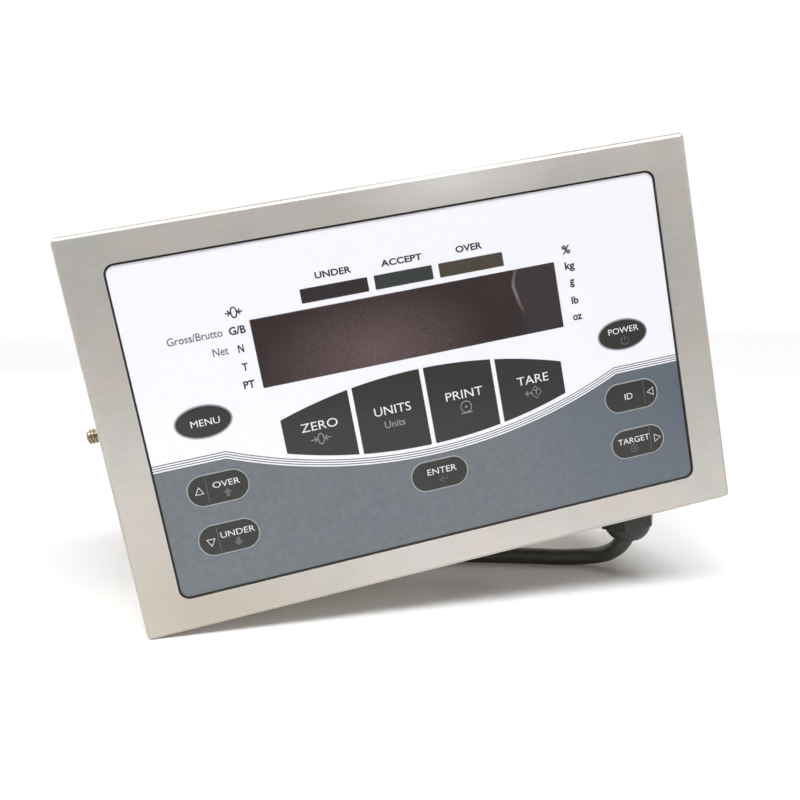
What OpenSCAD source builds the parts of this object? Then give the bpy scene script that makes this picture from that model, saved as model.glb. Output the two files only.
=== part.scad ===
// Bench checkweigher indicator: a stainless case with a membrane keypad panel,
// resting on its lower left edge and on the cord below the gland at its right end.
// Pieces are drawn upright: x to the right, y from the front face to the back,
// z up from the middle of the face. as_rested() then lays them on the table.

/* [Case] */
// Width of the case across its front
case_w = 241; // [236:1:280]
// Height of the case
case_h = 150; // [150:1:180]
// Depth of the housing from its front face to the rear flange
housing_d = 66; // [64:1:90]
// Thickness of the stainless sheet of housing and cover
sheet_t = 1.5; // [1:0.1:1.8]
// Inside radius of the bent case edges
bend_r = 0.4; // [0.3:0.1:2.5]
// Width of the inward flange that takes the rear cover
flange_w = 14; // [12:0.5:16]
// Angle at which the case leans on the table
rest_roll = 10.7; // [9:0.1:12]

/* [Panel opening] */
// Width of the face left and right of the opening
bezel_side = 15; // [14.6:0.1:17]
// Height of the face above and below the opening
bezel_top = 12.2; // [12.2:0.1:15]
// Corner radius of the opening
opening_r = 4; // [3:0.5:8]
// Width of the seal that shows round the overlay
seal_gap = 0.7; // [0.6:0.1:1.4]
// Thickness of the seal between the sheet and the panel plate
seal_t = 1.1; // [1:0.1:1.4]
// Width of the seal's flange behind the sheet
seal_flange = 3.2; // [2:0.1:3.4]
// How far the seal's lip stays behind the overlay's face
seal_drop = 0.2; // [0:0.1:0.3]

/* [Panel layers] */
// Thickness of the printed overlay
overlay_t = 0.4; // [0.3:0.05:0.5]
// Thickness of the circuit film
circuit_t = 0.3; // [0.2:0.05:0.4]
// Thickness of the panel plate
plate_t = 2; // [1.5:0.1:3]
// Height of a snap dome
dome_h = 0.45; // [0.35:0.05:0.5]
// Radius of a snap dome
dome_r = 4.5; // [3.5:0.1:5]
// Thickness of a snap dome
dome_t = 0.12; // [0.08:0.01:0.2]
// How far the keys stand proud of the overlay
key_rise = 0.1; // [0:0.05:0.2]
// Travel of a key
key_travel = 0.5; // [0.3:0.05:0.6]
// Gap left between a pressed key and its dome
dome_gap = 0.05; // [0.02:0.01:0.1]
// Gap round a key in the overlay
key_gap = 0.15; // [0.1:0.01:0.2]
// Gap round a key in the spacer
hole_gap = 0.4; // [0.3:0.05:0.6]

/* [Window and status bars] */
// Width of the display window
window_w = 118.8; // [112:0.2:124]
// Height of the display window
window_h = 25.4; // [24.8:0.2:26]
// Height of the window's middle above the middle of the face
window_z = 21.8; // [20:0.2:22.4]
// Width of the outer status bars
bar_side_w = 25.4; // [22:0.2:28]
// Width of the middle status bar
bar_mid_w = 22.4; // [18:0.2:26]
// Height of the status bars
bar_h = 5.2; // [4.6:0.1:6]
// Height of the bars' middle above the middle of the face
bar_z = 39.4; // [39:0.2:42]
// Gap between the status bars
bar_gap = 2.7; // [2:0.1:4]
// Corner radius of window and bars
filter_r = 0.4; // [0.3:0.1:1.2]
// Rim by which a filter rests on the panel plate
filter_rim = 0.9; // [0.6:0.1:1]
// Gap round a filter in the layers
filter_gap = 0.1; // [0.05:0.05:0.2]

/* [Keys] */
// Width of the row of four fan keys
fan_w = 111.7; // [104:0.1:116]
// Height of the fan row at its middle
fan_h = 29.6; // [27:0.2:30]
// Radius of the fan row's arcs
fan_r = 188; // [170:1:220]
// Height of the fan row's middle
fan_z = -10.5; // [-11.4:0.1:-10.2]
// Gap between fan keys
fan_gap = 2; // [1.6:0.1:3]
// Width of the oval keys
oval_w = 21; // [18:0.2:22]
// Height of the oval keys
oval_h = 12.2; // [11:0.2:13]
// Height of the oval keys' middle
oval_z = 1.4; // [0:0.1:2]
// Length of the pill keys
pill_w = 23; // [20:0.2:24]
// Height of the pill keys
pill_h = 12; // [11:0.2:13]
// Height of the upper pair of pill keys
pill_high_z = -23.9; // [-25:0.1:-22]
// Height of the lower pair of pill keys
pill_low_z = -43.1; // [-45:0.1:-42]
// Height of the middle pill key
pill_mid_z = -37.6; // [-39:0.1:-37]
// Distance of the side keys' middles from the overlay's ends
side_key_inset = 21.5; // [18.4:0.1:22.4]

/* [Boards] */
// Distance from the panel stud to the opening's edge
stud_off = 6; // [5.9:0.1:6.4]
// Radius of the panel studs
stud_r = 2; // [1.5:0.1:2]
// Length of thread past the panel nut
stud_past = 1.5; // [1:0.1:3]
// Edge of the plate outside its stud holes
plate_edge = 1.8; // [1.4:0.1:2]
// Width across flats of a small nut
nut_af = 7; // [6:0.1:7.2]
// Height of a small nut
nut_h = 3.2; // [2.4:0.1:3.6]
// Clearance of screws, studs and pins in their holes
pass_gap = 0.2; // [0.1:0.05:0.3]
// Clearance of threads and close fits
fit_gap = 0.05; // [0.03:0.01:0.08]
// Depth of the display parts in front of their board
led_d = 8; // [7:0.5:10]
// Gap between the plate and the display parts
led_gap = 0.3; // [0.2:0.1:0.6]
// Thickness of the circuit boards
board_t = 1.6; // [1.2:0.1:2]
// Width of the display board
display_w = 134; // [130:1:136]
// Height of the display board
display_h = 42; // [40:1:44]
// Height of the display board's middle
display_z = 25; // [24.5:0.5:25.5]
// Gap from the panel plate to the main board
main_gap = 25.4; // [24:0.2:30]
// Width of the main board
main_w = 156; // [154:1:160]
// Height of the main board
main_h = 104; // [102:1:110]
// Inset of the screw holes from a board's edges
board_inset = 5; // [4.5:0.1:5.5]
// Width across flats of the standoffs
standoff_af = 5.5; // [5:0.1:6]
// Radius of the board screws
board_screw_r = 1.5; // [1.2:0.1:1.6]
// Length of a board screw below its head
board_screw_l = 7; // [5:0.5:8]
// Radius of a board screw's head
board_head_r = 2.75; // [2.5:0.05:3]
// Height of a board screw's head
board_head_h = 2; // [1.6:0.1:2.4]

/* [Display parts] */
// Number of digits
digit_n = 6; // [4:1:6]
// Width of a digit
digit_w = 15; // [14:0.1:15]
// Height of a digit
digit_h = 21.5; // [20:0.1:21.6]
// Gap between digits
digit_gap = 0.3; // [0.2:0.1:0.6]
// Radius of an annunciator lamp
lamp_r = 1.5; // [1:0.1:1.6]
// Number of lamps in each column
lamp_n = 5; // [3:1:5]
// Pitch of the lamps
lamp_pitch = 4.8; // [4:0.1:4.8]
// Distance of the lamp columns from the middle
lamp_x = 52; // [50:0.5:54]

/* [Main board parts] */
// Width of the power transformer
core_w = 44; // [38:1:48]
// Height of the power transformer
core_h = 36; // [32:1:40]
// Depth of the power transformer
core_d = 27; // [22:1:28]
// Width of the transformer's winding
winding_w = 26; // [20:1:30]
// How far the winding stands past the core
winding_past = 6; // [4:0.5:8]
// Radius of a smoothing capacitor
cap_r = 6.3; // [5:0.1:8]
// Length of a smoothing capacitor
cap_l = 20; // [16:1:26]
// Width of a setpoint relay
relay_w = 19; // [16:0.5:20]
// Height of a setpoint relay
relay_h = 15; // [12:0.5:16]
// Depth of a setpoint relay
relay_d = 15; // [12:0.5:18]
// Pitch of the poles of the terminal blocks
pole_pitch = 5; // [5:0.1:5.2]
// Height of a terminal block
block_h = 10; // [8:0.5:12]
// Depth of a terminal block
block_d = 12; // [11:0.5:14]
// Number of signal terminals
signal_n = 8; // [4:1:8]
// Width of the flat cable
ribbon_w = 20; // [16:0.5:24]
// Thickness of the flat cable
ribbon_t = 1; // [0.8:0.1:1.2]
// Depth of a flat cable header
header_d = 3.5; // [3:0.1:4]
// Width of the keypad tail
tail_w = 15; // [12:0.5:18]
// Thickness of the keypad tail
tail_t = 0.3; // [0.2:0.05:0.4]
// Depth of the tail's connector
tail_socket_d = 3; // [2.5:0.1:4]
// Length of the fuse holder
fuse_l = 22; // [20:0.5:26]
// Radius of the fuse
fuse_r = 2.6; // [2.5:0.1:3.2]
// Depth of the fuse's clip base
fuse_base_d = 4; // [3:0.5:6]
// Radius of a power lead
wire_r = 0.8; // [0.6:0.05:0.9]
// Spacing of the power leads where they leave the cord
wire_pitch = 2.4; // [2:0.1:2.5]

/* [Rear cover] */
// Thickness of the cover's gasket
gasket_t = 1.5; // [1:0.1:2]
// How far the cover stays inside the case's outline
cover_margin = 0.8; // [0.5:0.1:1.5]
// How far the gasket stays inside the cover's outline
gasket_margin = 1.2; // [0.8:0.1:1.6]
// Inset of the cover screws from the case's sides
screw_inset = 8; // [7.6:0.1:8.6]
// Radius of a cover screw
screw_r = 2; // [1.8:0.1:2.2]
// Radius of a cover screw's head
head_r = 3.6; // [3.4:0.1:4]
// Height of a cover screw's head
head_h = 2; // [1.8:0.1:3]
// Width across flats of the socket in a screw's head
socket_af = 2.5; // [2:0.1:3]
// Depth of the socket in a screw's head
socket_d = 1.2; // [0.8:0.1:1.4]
// Radius of a sealing washer
washer_r = 4.4; // [4.1:0.1:5]
// Thickness of a sealing washer
washer_t = 1; // [0.8:0.1:1.5]

/* [Side studs] */
// Radius of the side studs
pivot_r = 3.175; // [3:0.005:4]
// Length of a side stud outside the case
pivot_l = 11.5; // [9:0.1:14]
// Depth of the side studs behind the front face
pivot_y = 39; // [34:0.5:44]
// Chamfer at the tip of a side stud
pivot_chamfer = 0.8; // [0.5:0.1:1]
// Extra radius of a side stud's neck in the wall
pivot_neck = 0.25; // [0.15:0.05:0.5]
// Radius of a side stud's head inside the case
pivot_head_r = 6; // [5:0.1:8]
// Thickness of a side stud's head
pivot_head_t = 2; // [1.5:0.1:3]

/* [Cable gland and port plugs] */
// Distance of the gland from the right end of the case
gland_inset = 31.1; // [24.5:0.1:36.5]
// Depth of the gland behind the front face
gland_y = 36; // [32:0.5:40]
// Width across flats of the gland
gland_af = 22; // [21:0.5:24]
// Radius of the gland's mounting thread
gland_thread_r = 9.3; // [8.5:0.1:9.5]
// Thickness of the gland's washer
gland_washer_t = 1; // [0.8:0.1:2]
// Height of the gland body's hexagon
gland_hex_h = 4.5; // [4:0.1:6]
// Height of the gland nut's hexagon
gland_nut_h = 8.5; // [7:0.1:10]
// Height of the gland nut's dome
gland_dome_h = 6.6; // [6:0.1:7]
// Radius of the gland's neck inside its nut
gland_neck_r = 8.6; // [8:0.1:8.8]
// Radius of the bore of the gland body
gland_bore_r = 6.2; // [6:0.1:6.6]
// Radius of the mouth in the gland nut's dome
gland_mouth_r = 5.6; // [5:0.1:5.8]
// Width across flats of the gland's locknut
locknut_af = 24; // [22:0.5:27]
// Height of the gland's locknut
locknut_h = 5; // [4:0.1:6]
// Length of mounting thread past the locknut
thread_past = 1.5; // [1:0.1:3]
// Distance from the gland to the first port plug
plug_gap = 39.4; // [35.4:0.1:43.4]
// Distance between the port plugs
plug_pitch = 36; // [30:1:44]
// Height of a port plug's hexagon
port_cap_h = 6; // [4:0.5:7]

/* [Cord and plug] */
// Diameter of the cord
cord_d = 7.6; // [7.4:0.1:7.8]
// Gap between neighbouring turns of the coil
turn_gap = 0.2; // [0.1:0.1:0.4]
// Turns side by side in each layer of the coil
coil_columns = 2; // [2:1:3]
// Radius of the innermost turn
coil_inner_r = 34.6; // [33:0.2:35]
// Gap between the case's back and the coil
coil_off = 1.6; // [1.2:0.1:3]
// Thickness of the tie round the coil
tie_t = 0.8; // [0.6:0.1:1]
// Width of the tie
tie_w = 8; // [6:0.5:9]
// Length of the moulded plug body
plug_l = 30; // [26:1:36]
// Width of the plug body
plug_w = 26; // [24:0.5:28]
// Height of the plug body
plug_h = 22; // [20:0.5:22]
// Length of the plug's tapered sleeve
sleeve_l = 20; // [20:1:26]
// Length of the flat blades
blade_l = 16; // [14:0.5:18]

/* [Hidden] */
$fn = 96;
ARC_FN = 360;

// Opening in the face and layers of the panel, from the plate forwards
edge_r = bend_r + sheet_t;
opening_w = case_w - 2 * bezel_side;
opening_h = case_h - 2 * bezel_top;
plate_y = sheet_t + seal_t;
plate_back = plate_y + plate_t;
spacer_t = key_travel + dome_gap + dome_h;
circuit_y = plate_y - circuit_t;
spacer_y = circuit_y - spacer_t;
overlay_y = spacer_y - overlay_t;
overlay_w = opening_w - 2 * seal_gap;
overlay_h = opening_h - 2 * seal_gap;
overlay_r = opening_r - seal_gap;
stud_x = opening_w / 2 + stud_off;
stud_z = opening_h / 2 + stud_off;
plate_w = 2 * (stud_x + stud_r + pass_gap + plate_edge);
plate_h = 2 * (stud_z + stud_r + pass_gap + plate_edge);
bar_x = (bar_mid_w + bar_side_w) / 2 + bar_gap;
fan_cell_w = (fan_w - 3 * fan_gap) / 4;
side_key_x = overlay_w / 2 - side_key_inset;

// Boards behind the plate
display_gap = led_gap + led_d;
display_y = plate_back + display_gap;
display_back = display_y + board_t;
main_y = plate_back + main_gap;
main_back = main_y + board_t;
ribbon_y = (display_back + main_y) / 2;
ribbon_top_z = 10;
ribbon_low_z = -22;
tail_x = -30;
tail_z = -44;
power_block_x = 60;
power_poles = 3;
chips = [[-38, 8, 20, 20], [-62, 6, 10, 14], [-8, 12, 12, 8]];
chip_t = 2;
relay_at = [-58, 36];
core_at = [42, 20];
cap_at = [14, -18];
fuse_at = [64, -16];
part_gap = 3;
signal_block_x = -25;
block_z = board_inset + block_h / 2 - main_h / 2;
pole_y = main_back + block_d / 2;

// Rear of the case
cover_y = housing_d + gasket_t;
cover_back = cover_y + sheet_t;
overall_d = cover_back + washer_t + head_h;
screw_x = case_w / 2 - screw_inset;
screw_z = case_h / 2 - screw_inset;
rim_screws = [
    for (side = [-1, 1]) each [
        for (x = [-1, -1 / 3, 1 / 3, 1]) [x * screw_x, side * screw_z],
        [side * screw_x, 0]
    ]
];

// Gland, from the underside of the case downwards
gland_x = case_w / 2 - gland_inset;
plug_x = gland_x - plug_gap;
under = -case_h / 2;
gland_seat = under - gland_washer_t;
gland_shoulder = gland_seat - gland_hex_h;
gland_nut_top = gland_shoulder - pass_gap;
gland_nut_low = gland_nut_top - gland_nut_h;
gland_tip = gland_nut_low - gland_dome_h;
gland_neck_low = gland_nut_low + 1;
gland_top = under + sheet_t + locknut_h + thread_past;
gland_ball_z = gland_nut_low + 2;
gland_ball_r = norm([gland_mouth_r + 1, gland_tip - gland_ball_z]);

// Lean of the case and height of its middle above the table
lean_sin = sin(rest_roll);
lean_cos = cos(rest_roll);
centre_height = edge_r + (case_w / 2 - edge_r) * lean_sin + (case_h / 2 - edge_r) * lean_cos;

// Cord: through the gland, over the table and into the coil behind the case
cord_r = cord_d / 2;
turn_pitch = cord_d + turn_gap;
cord_bore_r = cord_r + pass_gap;
coil_layers = 4;
coil_outer_r = coil_inner_r + (coil_columns - 1) * turn_pitch;
coil_z = tie_t + turn_gap;
coil_h = coil_layers * cord_d + (coil_layers - 1) * turn_gap;
coil_in_r = coil_inner_r - cord_r - turn_gap;
coil_out_r = coil_outer_r + cord_r + turn_gap;
coil_at = [-50, overall_d / 2 + coil_off + coil_out_r];
coil_start = [coil_at.x, coil_at.y - coil_outer_r, coil_z + cord_r];
coil_end = [coil_at.x, coil_at.y + coil_outer_r, coil_z + coil_h - cord_r];
cord_route = concat(
    [for (z = [gland_top, gland_seat, gland_nut_low]) rested([gland_x, gland_y, z])],
    [
        [104.2, 0.5, 19], [102.6, 2.2, 14.4], [100.3, 6, 10], [96.9, 11.2, 6.6], [92.4, 15.4, 4.8],
        [86.2, 18, 4], [79.4, 19.6, 3.8], [71, 22.2, 3.8], [61.7, 25, 3.8], [50, 28.2, 3.8],
        [38, 31.4, 3.8], [26, 34.3, 3.8], [10, 37.4, 3.8]
    ],
    [for (p = [[45, -2.2, -1], [30, -0.8, -0.9], [15, -0.2, -0.6], [0, 0, 0]]) coil_start + p]
);
lead_points = [
    [0, 0, 0], [14, 0, -0.4], [20, 0, -1.4], [25.5, -0.1, -3.4], [32, -0.6, -7.2], [40, -2, -12.6],
    [49, -4.4, -18], [59, -7.4, -22.2], [69, -10, -23.9], [79, -11.6, -22.6], [88, -12.2, -19.6],
    [96, -12.4, -17.6], [104, -12.4, -17.2]
];
lead_route = [for (p = lead_points) coil_end + p];
plug_at = coil_end + lead_points[len(lead_points) - 1];

// Small fixed parts of standard pieces
key_count = 11;
blade_w = 6.3;
blade_t = 1.5;
blade_pitch = 12.7;
earth_r = 2.4;
earth_z = 6;
earth_past = 2;
plug_edge_r = 4;

function unit(v) = v / norm(v);

// Where a point of the upright case lies once the case leans on the table
function rested(p) = [
    p.x * lean_cos - p.z * lean_sin,
    p.y - overall_d / 2,
    centre_height + p.x * lean_sin + p.z * lean_cos
];

// Direction of a route at its point i
function heading(path, i) = unit(path[min(i + 1, len(path) - 1)] - path[max(i - 1, 0)]);

// Side vectors carried along a route without twist
function sides_along(path, side, i = 0) =
    i == len(path) ? [] :
    let (ahead = heading(path, i), next = unit(side - (side * ahead) * ahead))
    concat([next], sides_along(path, next, i + 1));

// Round tube swept along a route
module tube(path, r, n, side = [0, 1, 0]) {
    across = sides_along(path, side);
    last = len(path) - 1;
    rings = [
        for (i = [0:last], k = [0:n - 1])
            let (a = 360 * k / n, other = cross(heading(path, i), across[i]))
            path[i] + r * (cos(a) * across[i] + sin(a) * other)
    ];
    walls = [
        for (i = [0:last - 1], k = [0:n - 1])
            let (j = (k + 1) % n)
            [i * n + k, (i + 1) * n + k, (i + 1) * n + j, i * n + j]
    ];
    ends = [[for (k = [0:n - 1]) k], [for (k = [n - 1:-1:0]) last * n + k]];
    polyhedron(points = rings, faces = concat(walls, ends), convexity = 6);
}

module as_rested() {
    translate([0, -overall_d / 2, centre_height]) rotate([0, -rest_roll, 0]) children();
}

// A drawing on the face, thickened towards the back from depth y
module back(y, t) {
    translate([0, y, 0]) rotate([90, 0, 0]) mirror([0, 0, 1]) linear_extrude(t) children();
}

// A cylinder along the depth of the case
module rod(x, y, z, r, l, fn = 96) {
    translate([x, y, z]) rotate([-90, 0, 0]) cylinder(r = r, h = l, $fn = fn);
}

// A block centred on a face point, from depth y backwards
module block(x, y, z, w, d, h) {
    translate([x - w / 2, y, z - h / 2]) cube([w, d, h]);
}

function hex_r(af) = af / sqrt(3);

module round_rect(w, h, r) {
    square([w - 2 * r, h], center = true);
    square([w, h - 2 * r], center = true);
    for (x = [-1, 1], z = [-1, 1]) translate([x * (w / 2 - r), z * (h / 2 - r)]) circle(r = r);
}

// Quarter bar that rounds one front edge, from the face to depth r
module edge_bar(l, r) {
    intersection() {
        translate([0, r, 0]) rotate([0, 90, 0]) cylinder(r = r, h = l, center = true);
        translate([-l / 2, 0, 0]) cube([l, r, r]);
    }
}

// Eighth of a ball that closes a front corner
module corner_ball(r) {
    intersection() {
        translate([0, r, 0]) sphere(r = r);
        cube([r, r, r]);
    }
}

// Solid case form with rounded edges round its front
module case_form(w, h, d, r) {
    flat_w = w - 2 * r;
    flat_h = h - 2 * r;
    back(r, d - r) round_rect(w, h, r);
    block(0, 0, 0, flat_w, r, flat_h);
    for (m = [0, 1]) {
        mirror([0, 0, m]) translate([0, 0, flat_h / 2]) edge_bar(flat_w, r);
        mirror([m, 0, 0]) translate([flat_w / 2, 0, 0]) rotate([0, 90, 0]) edge_bar(flat_h, r);
        for (q = [0, 1]) {
            mirror([m, 0, 0]) mirror([0, 0, q]) translate([flat_w / 2, 0, flat_h / 2]) corner_ball(r);
        }
    }
}

module front_housing() {
    color("silver") difference() {
        case_form(case_w, case_h, housing_d, edge_r);
        back(sheet_t, housing_d - 2 * sheet_t)
            round_rect(case_w - 2 * sheet_t, case_h - 2 * sheet_t, bend_r);
        back(-sheet_t, 3 * sheet_t) round_rect(opening_w, opening_h, opening_r);
        back(housing_d - 2 * sheet_t, 3 * sheet_t)
            round_rect(case_w - 2 * flange_w, case_h - 2 * flange_w, opening_r);
        for (p = rim_screws) rod(p.x, housing_d - 2 * sheet_t, p.y, screw_r + pass_gap, 3 * sheet_t);
        translate([0, pivot_y, 0]) rotate([0, 90, 0])
            cylinder(r = pivot_r + pivot_neck + fit_gap, h = case_w + 2, center = true);
        at_ports() gland_bar(gland_thread_r + pass_gap, under - sheet_t, under + 2 * sheet_t);
    }
}

function port_xs() = [plug_x, plug_x - plug_pitch];

// Places of the panel studs round the opening
function panel_stud_spots() = [
    for (x = [-1, 0, 1], z = [-1, 0, 1]) if (x != 0 || z != 0) [x * stud_x, z * stud_z]
];

module panel_studs() {
    color("lightgray") for (p = panel_stud_spots())
        rod(p.x, sheet_t, p.y, stud_r, seal_t + plate_t + nut_h + stud_past);
}

module panel_nuts() {
    color("lightgray") for (p = panel_stud_spots()) difference() {
        rod(p.x, plate_back, p.y, hex_r(nut_af), nut_h, 6);
        rod(p.x, plate_back - 1, p.y, stud_r + fit_gap, nut_h + 2);
    }
}

module panel_seal() {
    lip_y = overlay_y + seal_drop;
    color("black") difference() {
        union() {
            back(sheet_t, seal_t)
                round_rect(opening_w + 2 * seal_flange, opening_h + 2 * seal_flange, opening_r + seal_flange);
            back(lip_y, sheet_t - lip_y)
                round_rect(opening_w - 2 * fit_gap, opening_h - 2 * fit_gap, opening_r - fit_gap);
        }
        back(0, plate_back)
            round_rect(overlay_w + 2 * fit_gap, overlay_h + 2 * fit_gap, overlay_r + fit_gap);
    }
}

// Display window and the three status bars, each grown by m
module filter_faces(m) {
    translate([0, window_z]) round_rect(window_w + 2 * m, window_h + 2 * m, filter_r);
    for (i = [-1:1]) bar_face(i, m);
}

module bar_face(i, m) {
    w = i == 0 ? bar_mid_w : bar_side_w;
    translate([i * bar_x, bar_z]) round_rect(w + 2 * m, bar_h + 2 * m, filter_r);
}

module panel_plate() {
    color("gainsboro") difference() {
        back(plate_y, plate_t) round_rect(plate_w, plate_h, edge_r);
        back(plate_y - 1, plate_t + 2) filter_faces(-filter_rim);
        back(plate_y - 1, plate_t + 2) translate([tail_x, tail_z])
            square([tail_w + 4 * pass_gap, tail_t + 4 * pass_gap], center = true);
        for (p = panel_stud_spots()) rod(p.x, plate_y - 1, p.y, stud_r + pass_gap, plate_t + 2);
    }
}

// Outlines of the keys, each grown by m
module fan_face(i, m) {
    x = (i - 1.5) * (fan_cell_w + fan_gap);
    intersection() {
        translate([x, fan_z]) square([fan_cell_w + 2 * m, fan_h + 2 * m], center = true);
        translate([0, fan_z + fan_h / 2 - fan_r]) circle(r = fan_r + m, $fn = ARC_FN);
        translate([0, fan_z - fan_h / 2 + fan_r]) circle(r = fan_r + m, $fn = ARC_FN);
    }
}

module oval_face(m) {
    steps = 48;
    polygon([
        for (i = [0:steps - 1]) [(oval_w / 2 + m) * cos(360 * i / steps), (oval_h / 2 + m) * sin(360 * i / steps)]
    ]);
}

module pill_face(m) {
    r = pill_h / 2;
    square([pill_w - pill_h, pill_h + 2 * m], center = true);
    for (s = [-1, 1]) translate([s * (pill_w / 2 - r), 0]) circle(r = r + m);
}

// Places of the oval and pill keys, counted after the four fan keys
function side_key_spots() = [
    [-side_key_x, oval_z], [side_key_x, oval_z],
    [-side_key_x, pill_high_z], [-side_key_x, pill_low_z], [0, pill_mid_z],
    [side_key_x, pill_high_z], [side_key_x, pill_low_z]
];

module key_face(k, m) {
    if (k < 4) fan_face(k, m);
    else translate(side_key_spots()[k - 4]) if (k < 6) oval_face(m); else pill_face(m);
}

// Middle of each key, where its dome lies
function key_spot(k) = k < 4 ? [(k - 1.5) * (fan_cell_w + fan_gap), fan_z] : side_key_spots()[k - 4];

module graphic_overlay() {
    color("whitesmoke") difference() {
        back(overlay_y, overlay_t) round_rect(overlay_w, overlay_h, overlay_r);
        back(overlay_y - 1, overlay_t + 2) filter_faces(filter_gap);
        for (k = [0:key_count - 1]) back(overlay_y - 1, overlay_t + 2) key_face(k, key_gap);
    }
}

module keypad_spacer() {
    color("gray") difference() {
        back(spacer_y, spacer_t) round_rect(overlay_w, overlay_h, overlay_r);
        back(spacer_y - 1, spacer_t + 2) filter_faces(filter_gap);
        for (k = [0:key_count - 1]) back(spacer_y - 1, spacer_t + 2) key_face(k, hole_gap);
    }
}

// Points of an arc of radius r from its top down to a drop below its centre line
function dome_arc(r, drop, steps = 5) =
    let (reach = acos(drop / r))
    [for (i = [0:steps]) [r * sin(reach * i / steps), r * cos(reach * i / steps) - drop]];

// Thin shallow domes that snap under the keys
module switch_domes() {
    ball_r = (dome_r * dome_r + dome_h * dome_h) / (2 * dome_h);
    outer = dome_arc(ball_r, ball_r - dome_h);
    inner = dome_arc(ball_r - dome_t, ball_r - dome_h);
    profile = concat(outer, [for (i = [len(inner) - 1:-1:0]) inner[i]]);
    color("silver") for (k = [0:key_count - 1]) let (p = key_spot(k))
        translate([p.x, circuit_y, p.y]) rotate([90, 0, 0]) rotate_extrude() polygon(profile);
}

module keypad_circuit() {
    color("khaki") difference() {
        back(circuit_y, circuit_t) round_rect(overlay_w, overlay_h, overlay_r);
        back(circuit_y - 1, circuit_t + 2) filter_faces(filter_gap);
    }
}

module keypad_tail() {
    color("khaki") block(tail_x, plate_y, tail_z, tail_w, main_y - tail_socket_d - plate_y, tail_t);
}

module key(k) {
    color("dimgray") back(overlay_y - key_rise, overlay_t + key_rise) key_face(k, 0);
}

module zero_key() key(0);
module units_key() key(1);
module print_key() key(2);
module tare_key() key(3);
module menu_key() key(4);
module power_key() key(5);
module over_key() key(6);
module under_key() key(7);
module enter_key() key(8);
module id_key() key(9);
module target_key() key(10);

module display_filter() {
    color("maroon") back(overlay_y, plate_y - overlay_y) translate([0, window_z])
        round_rect(window_w, window_h, filter_r);
}

module status_filter(i) {
    back(overlay_y, plate_y - overlay_y) bar_face(i, 0);
}

module under_filter() {
    color("saddlebrown") status_filter(-1);
}

module accept_filter() {
    color("darkgreen") status_filter(0);
}

module over_filter() {
    color("darkolivegreen") status_filter(1);
}

// Screw places of a board, inset from its corners
function board_spots(w, h, z) = [
    for (x = [-1, 1], s = [-1, 1]) [x * (w / 2 - board_inset), z + s * (h / 2 - board_inset)]
];

module board(y, w, h, z) {
    color("green") difference() {
        block(0, y, z, w, board_t, h);
        for (p = board_spots(w, h, z)) rod(p.x, y - 1, p.y, board_screw_r + pass_gap, board_t + 2);
    }
}

module display_board() board(display_y, display_w, display_h, display_z);
module main_board() board(main_y, main_w, main_h, 0);

module led_digits() {
    pitch = digit_w + digit_gap;
    color("dimgray") for (i = [0:digit_n - 1])
        block((i - (digit_n - 1) / 2) * pitch, display_y - led_d, window_z, digit_w, led_d, digit_h);
}

module status_bars() {
    color("lightgray") for (i = [-1:1])
        block(i * bar_x, display_y - led_d, bar_z, (i == 0 ? bar_mid_w : bar_side_w) - 2, led_d, bar_h - 0.6);
}

module annunciator_leds() {
    color("red") for (s = [-1, 1], i = [0:lamp_n - 1]) let (z = window_z + (i - (lamp_n - 1) / 2) * lamp_pitch) {
        rod(s * lamp_x, display_y - led_d + lamp_r, z, lamp_r, led_d - lamp_r);
        translate([s * lamp_x, display_y - led_d + lamp_r, z]) sphere(r = lamp_r);
    }
}

module standoffs(l, w, h, z) {
    for (p = board_spots(w, h, z)) difference() {
        rod(p.x, plate_back, p.y, hex_r(standoff_af), l, 6);
        rod(p.x, plate_back + l - board_screw_l, p.y, board_screw_r + fit_gap, board_screw_l + 1);
    }
}

module board_standoffs() {
    color("gold") {
        standoffs(display_gap, display_w, display_h, display_z);
        standoffs(main_gap, main_w, main_h, 0);
    }
}

module screws_at(y, spots) {
    for (p = spots) {
        rod(p.x, y + board_t - board_screw_l, p.y, board_screw_r, board_screw_l);
        rod(p.x, y + board_t, p.y, board_head_r, board_head_h);
    }
}

module board_screws() {
    color("silver") {
        screws_at(display_y, board_spots(display_w, display_h, display_z));
        screws_at(main_y, board_spots(main_w, main_h, 0));
    }
}

module processor_chips() {
    color("black") for (c = chips) block(c[0], main_back, c[1], c[2], chip_t, c[3]);
}

module setpoint_relays() {
    color("royalblue") for (i = [0:2])
        block(relay_at.x + i * (relay_w + part_gap), main_back, relay_at.y, relay_w, relay_d, relay_h);
}

// Laminated core with a taller winding through it
module transformer() {
    color("orange") {
        block(core_at.x, main_back, core_at.y, core_w, core_d - winding_past, core_h);
        block(core_at.x, main_back, core_at.y, winding_w, core_d, core_h + winding_past);
    }
}

module capacitors() {
    color("navy") for (i = [0:1])
        rod(cap_at.x + i * (2 * cap_r + part_gap), main_back, cap_at.y, cap_r, cap_l);
}

// Glass fuse lying on its clip base
module fuse_holder() {
    color("ivory") {
        block(fuse_at.x, main_back, fuse_at.y, 3 * fuse_r, fuse_base_d, fuse_l);
        translate([fuse_at.x, main_back + fuse_base_d + fuse_r / 2, fuse_at.y - fuse_l / 2])
            cylinder(r = fuse_r, h = fuse_l);
    }
}

module terminal_block(x, n) {
    block(x, main_back, block_z, n * pole_pitch, block_d, block_h);
}

module terminal_blocks() {
    color("seagreen") {
        terminal_block(power_block_x, power_poles);
        terminal_block(signal_block_x, signal_n);
    }
}

module board_connectors() {
    color("ivory") {
        block(0, display_back, ribbon_top_z, ribbon_w + 4, header_d, 6);
        block(0, main_y - header_d, ribbon_low_z, ribbon_w + 4, header_d, 6);
        block(tail_x, main_y - tail_socket_d, tail_z, tail_w + 4, tail_socket_d, 5);
    }
}

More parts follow.
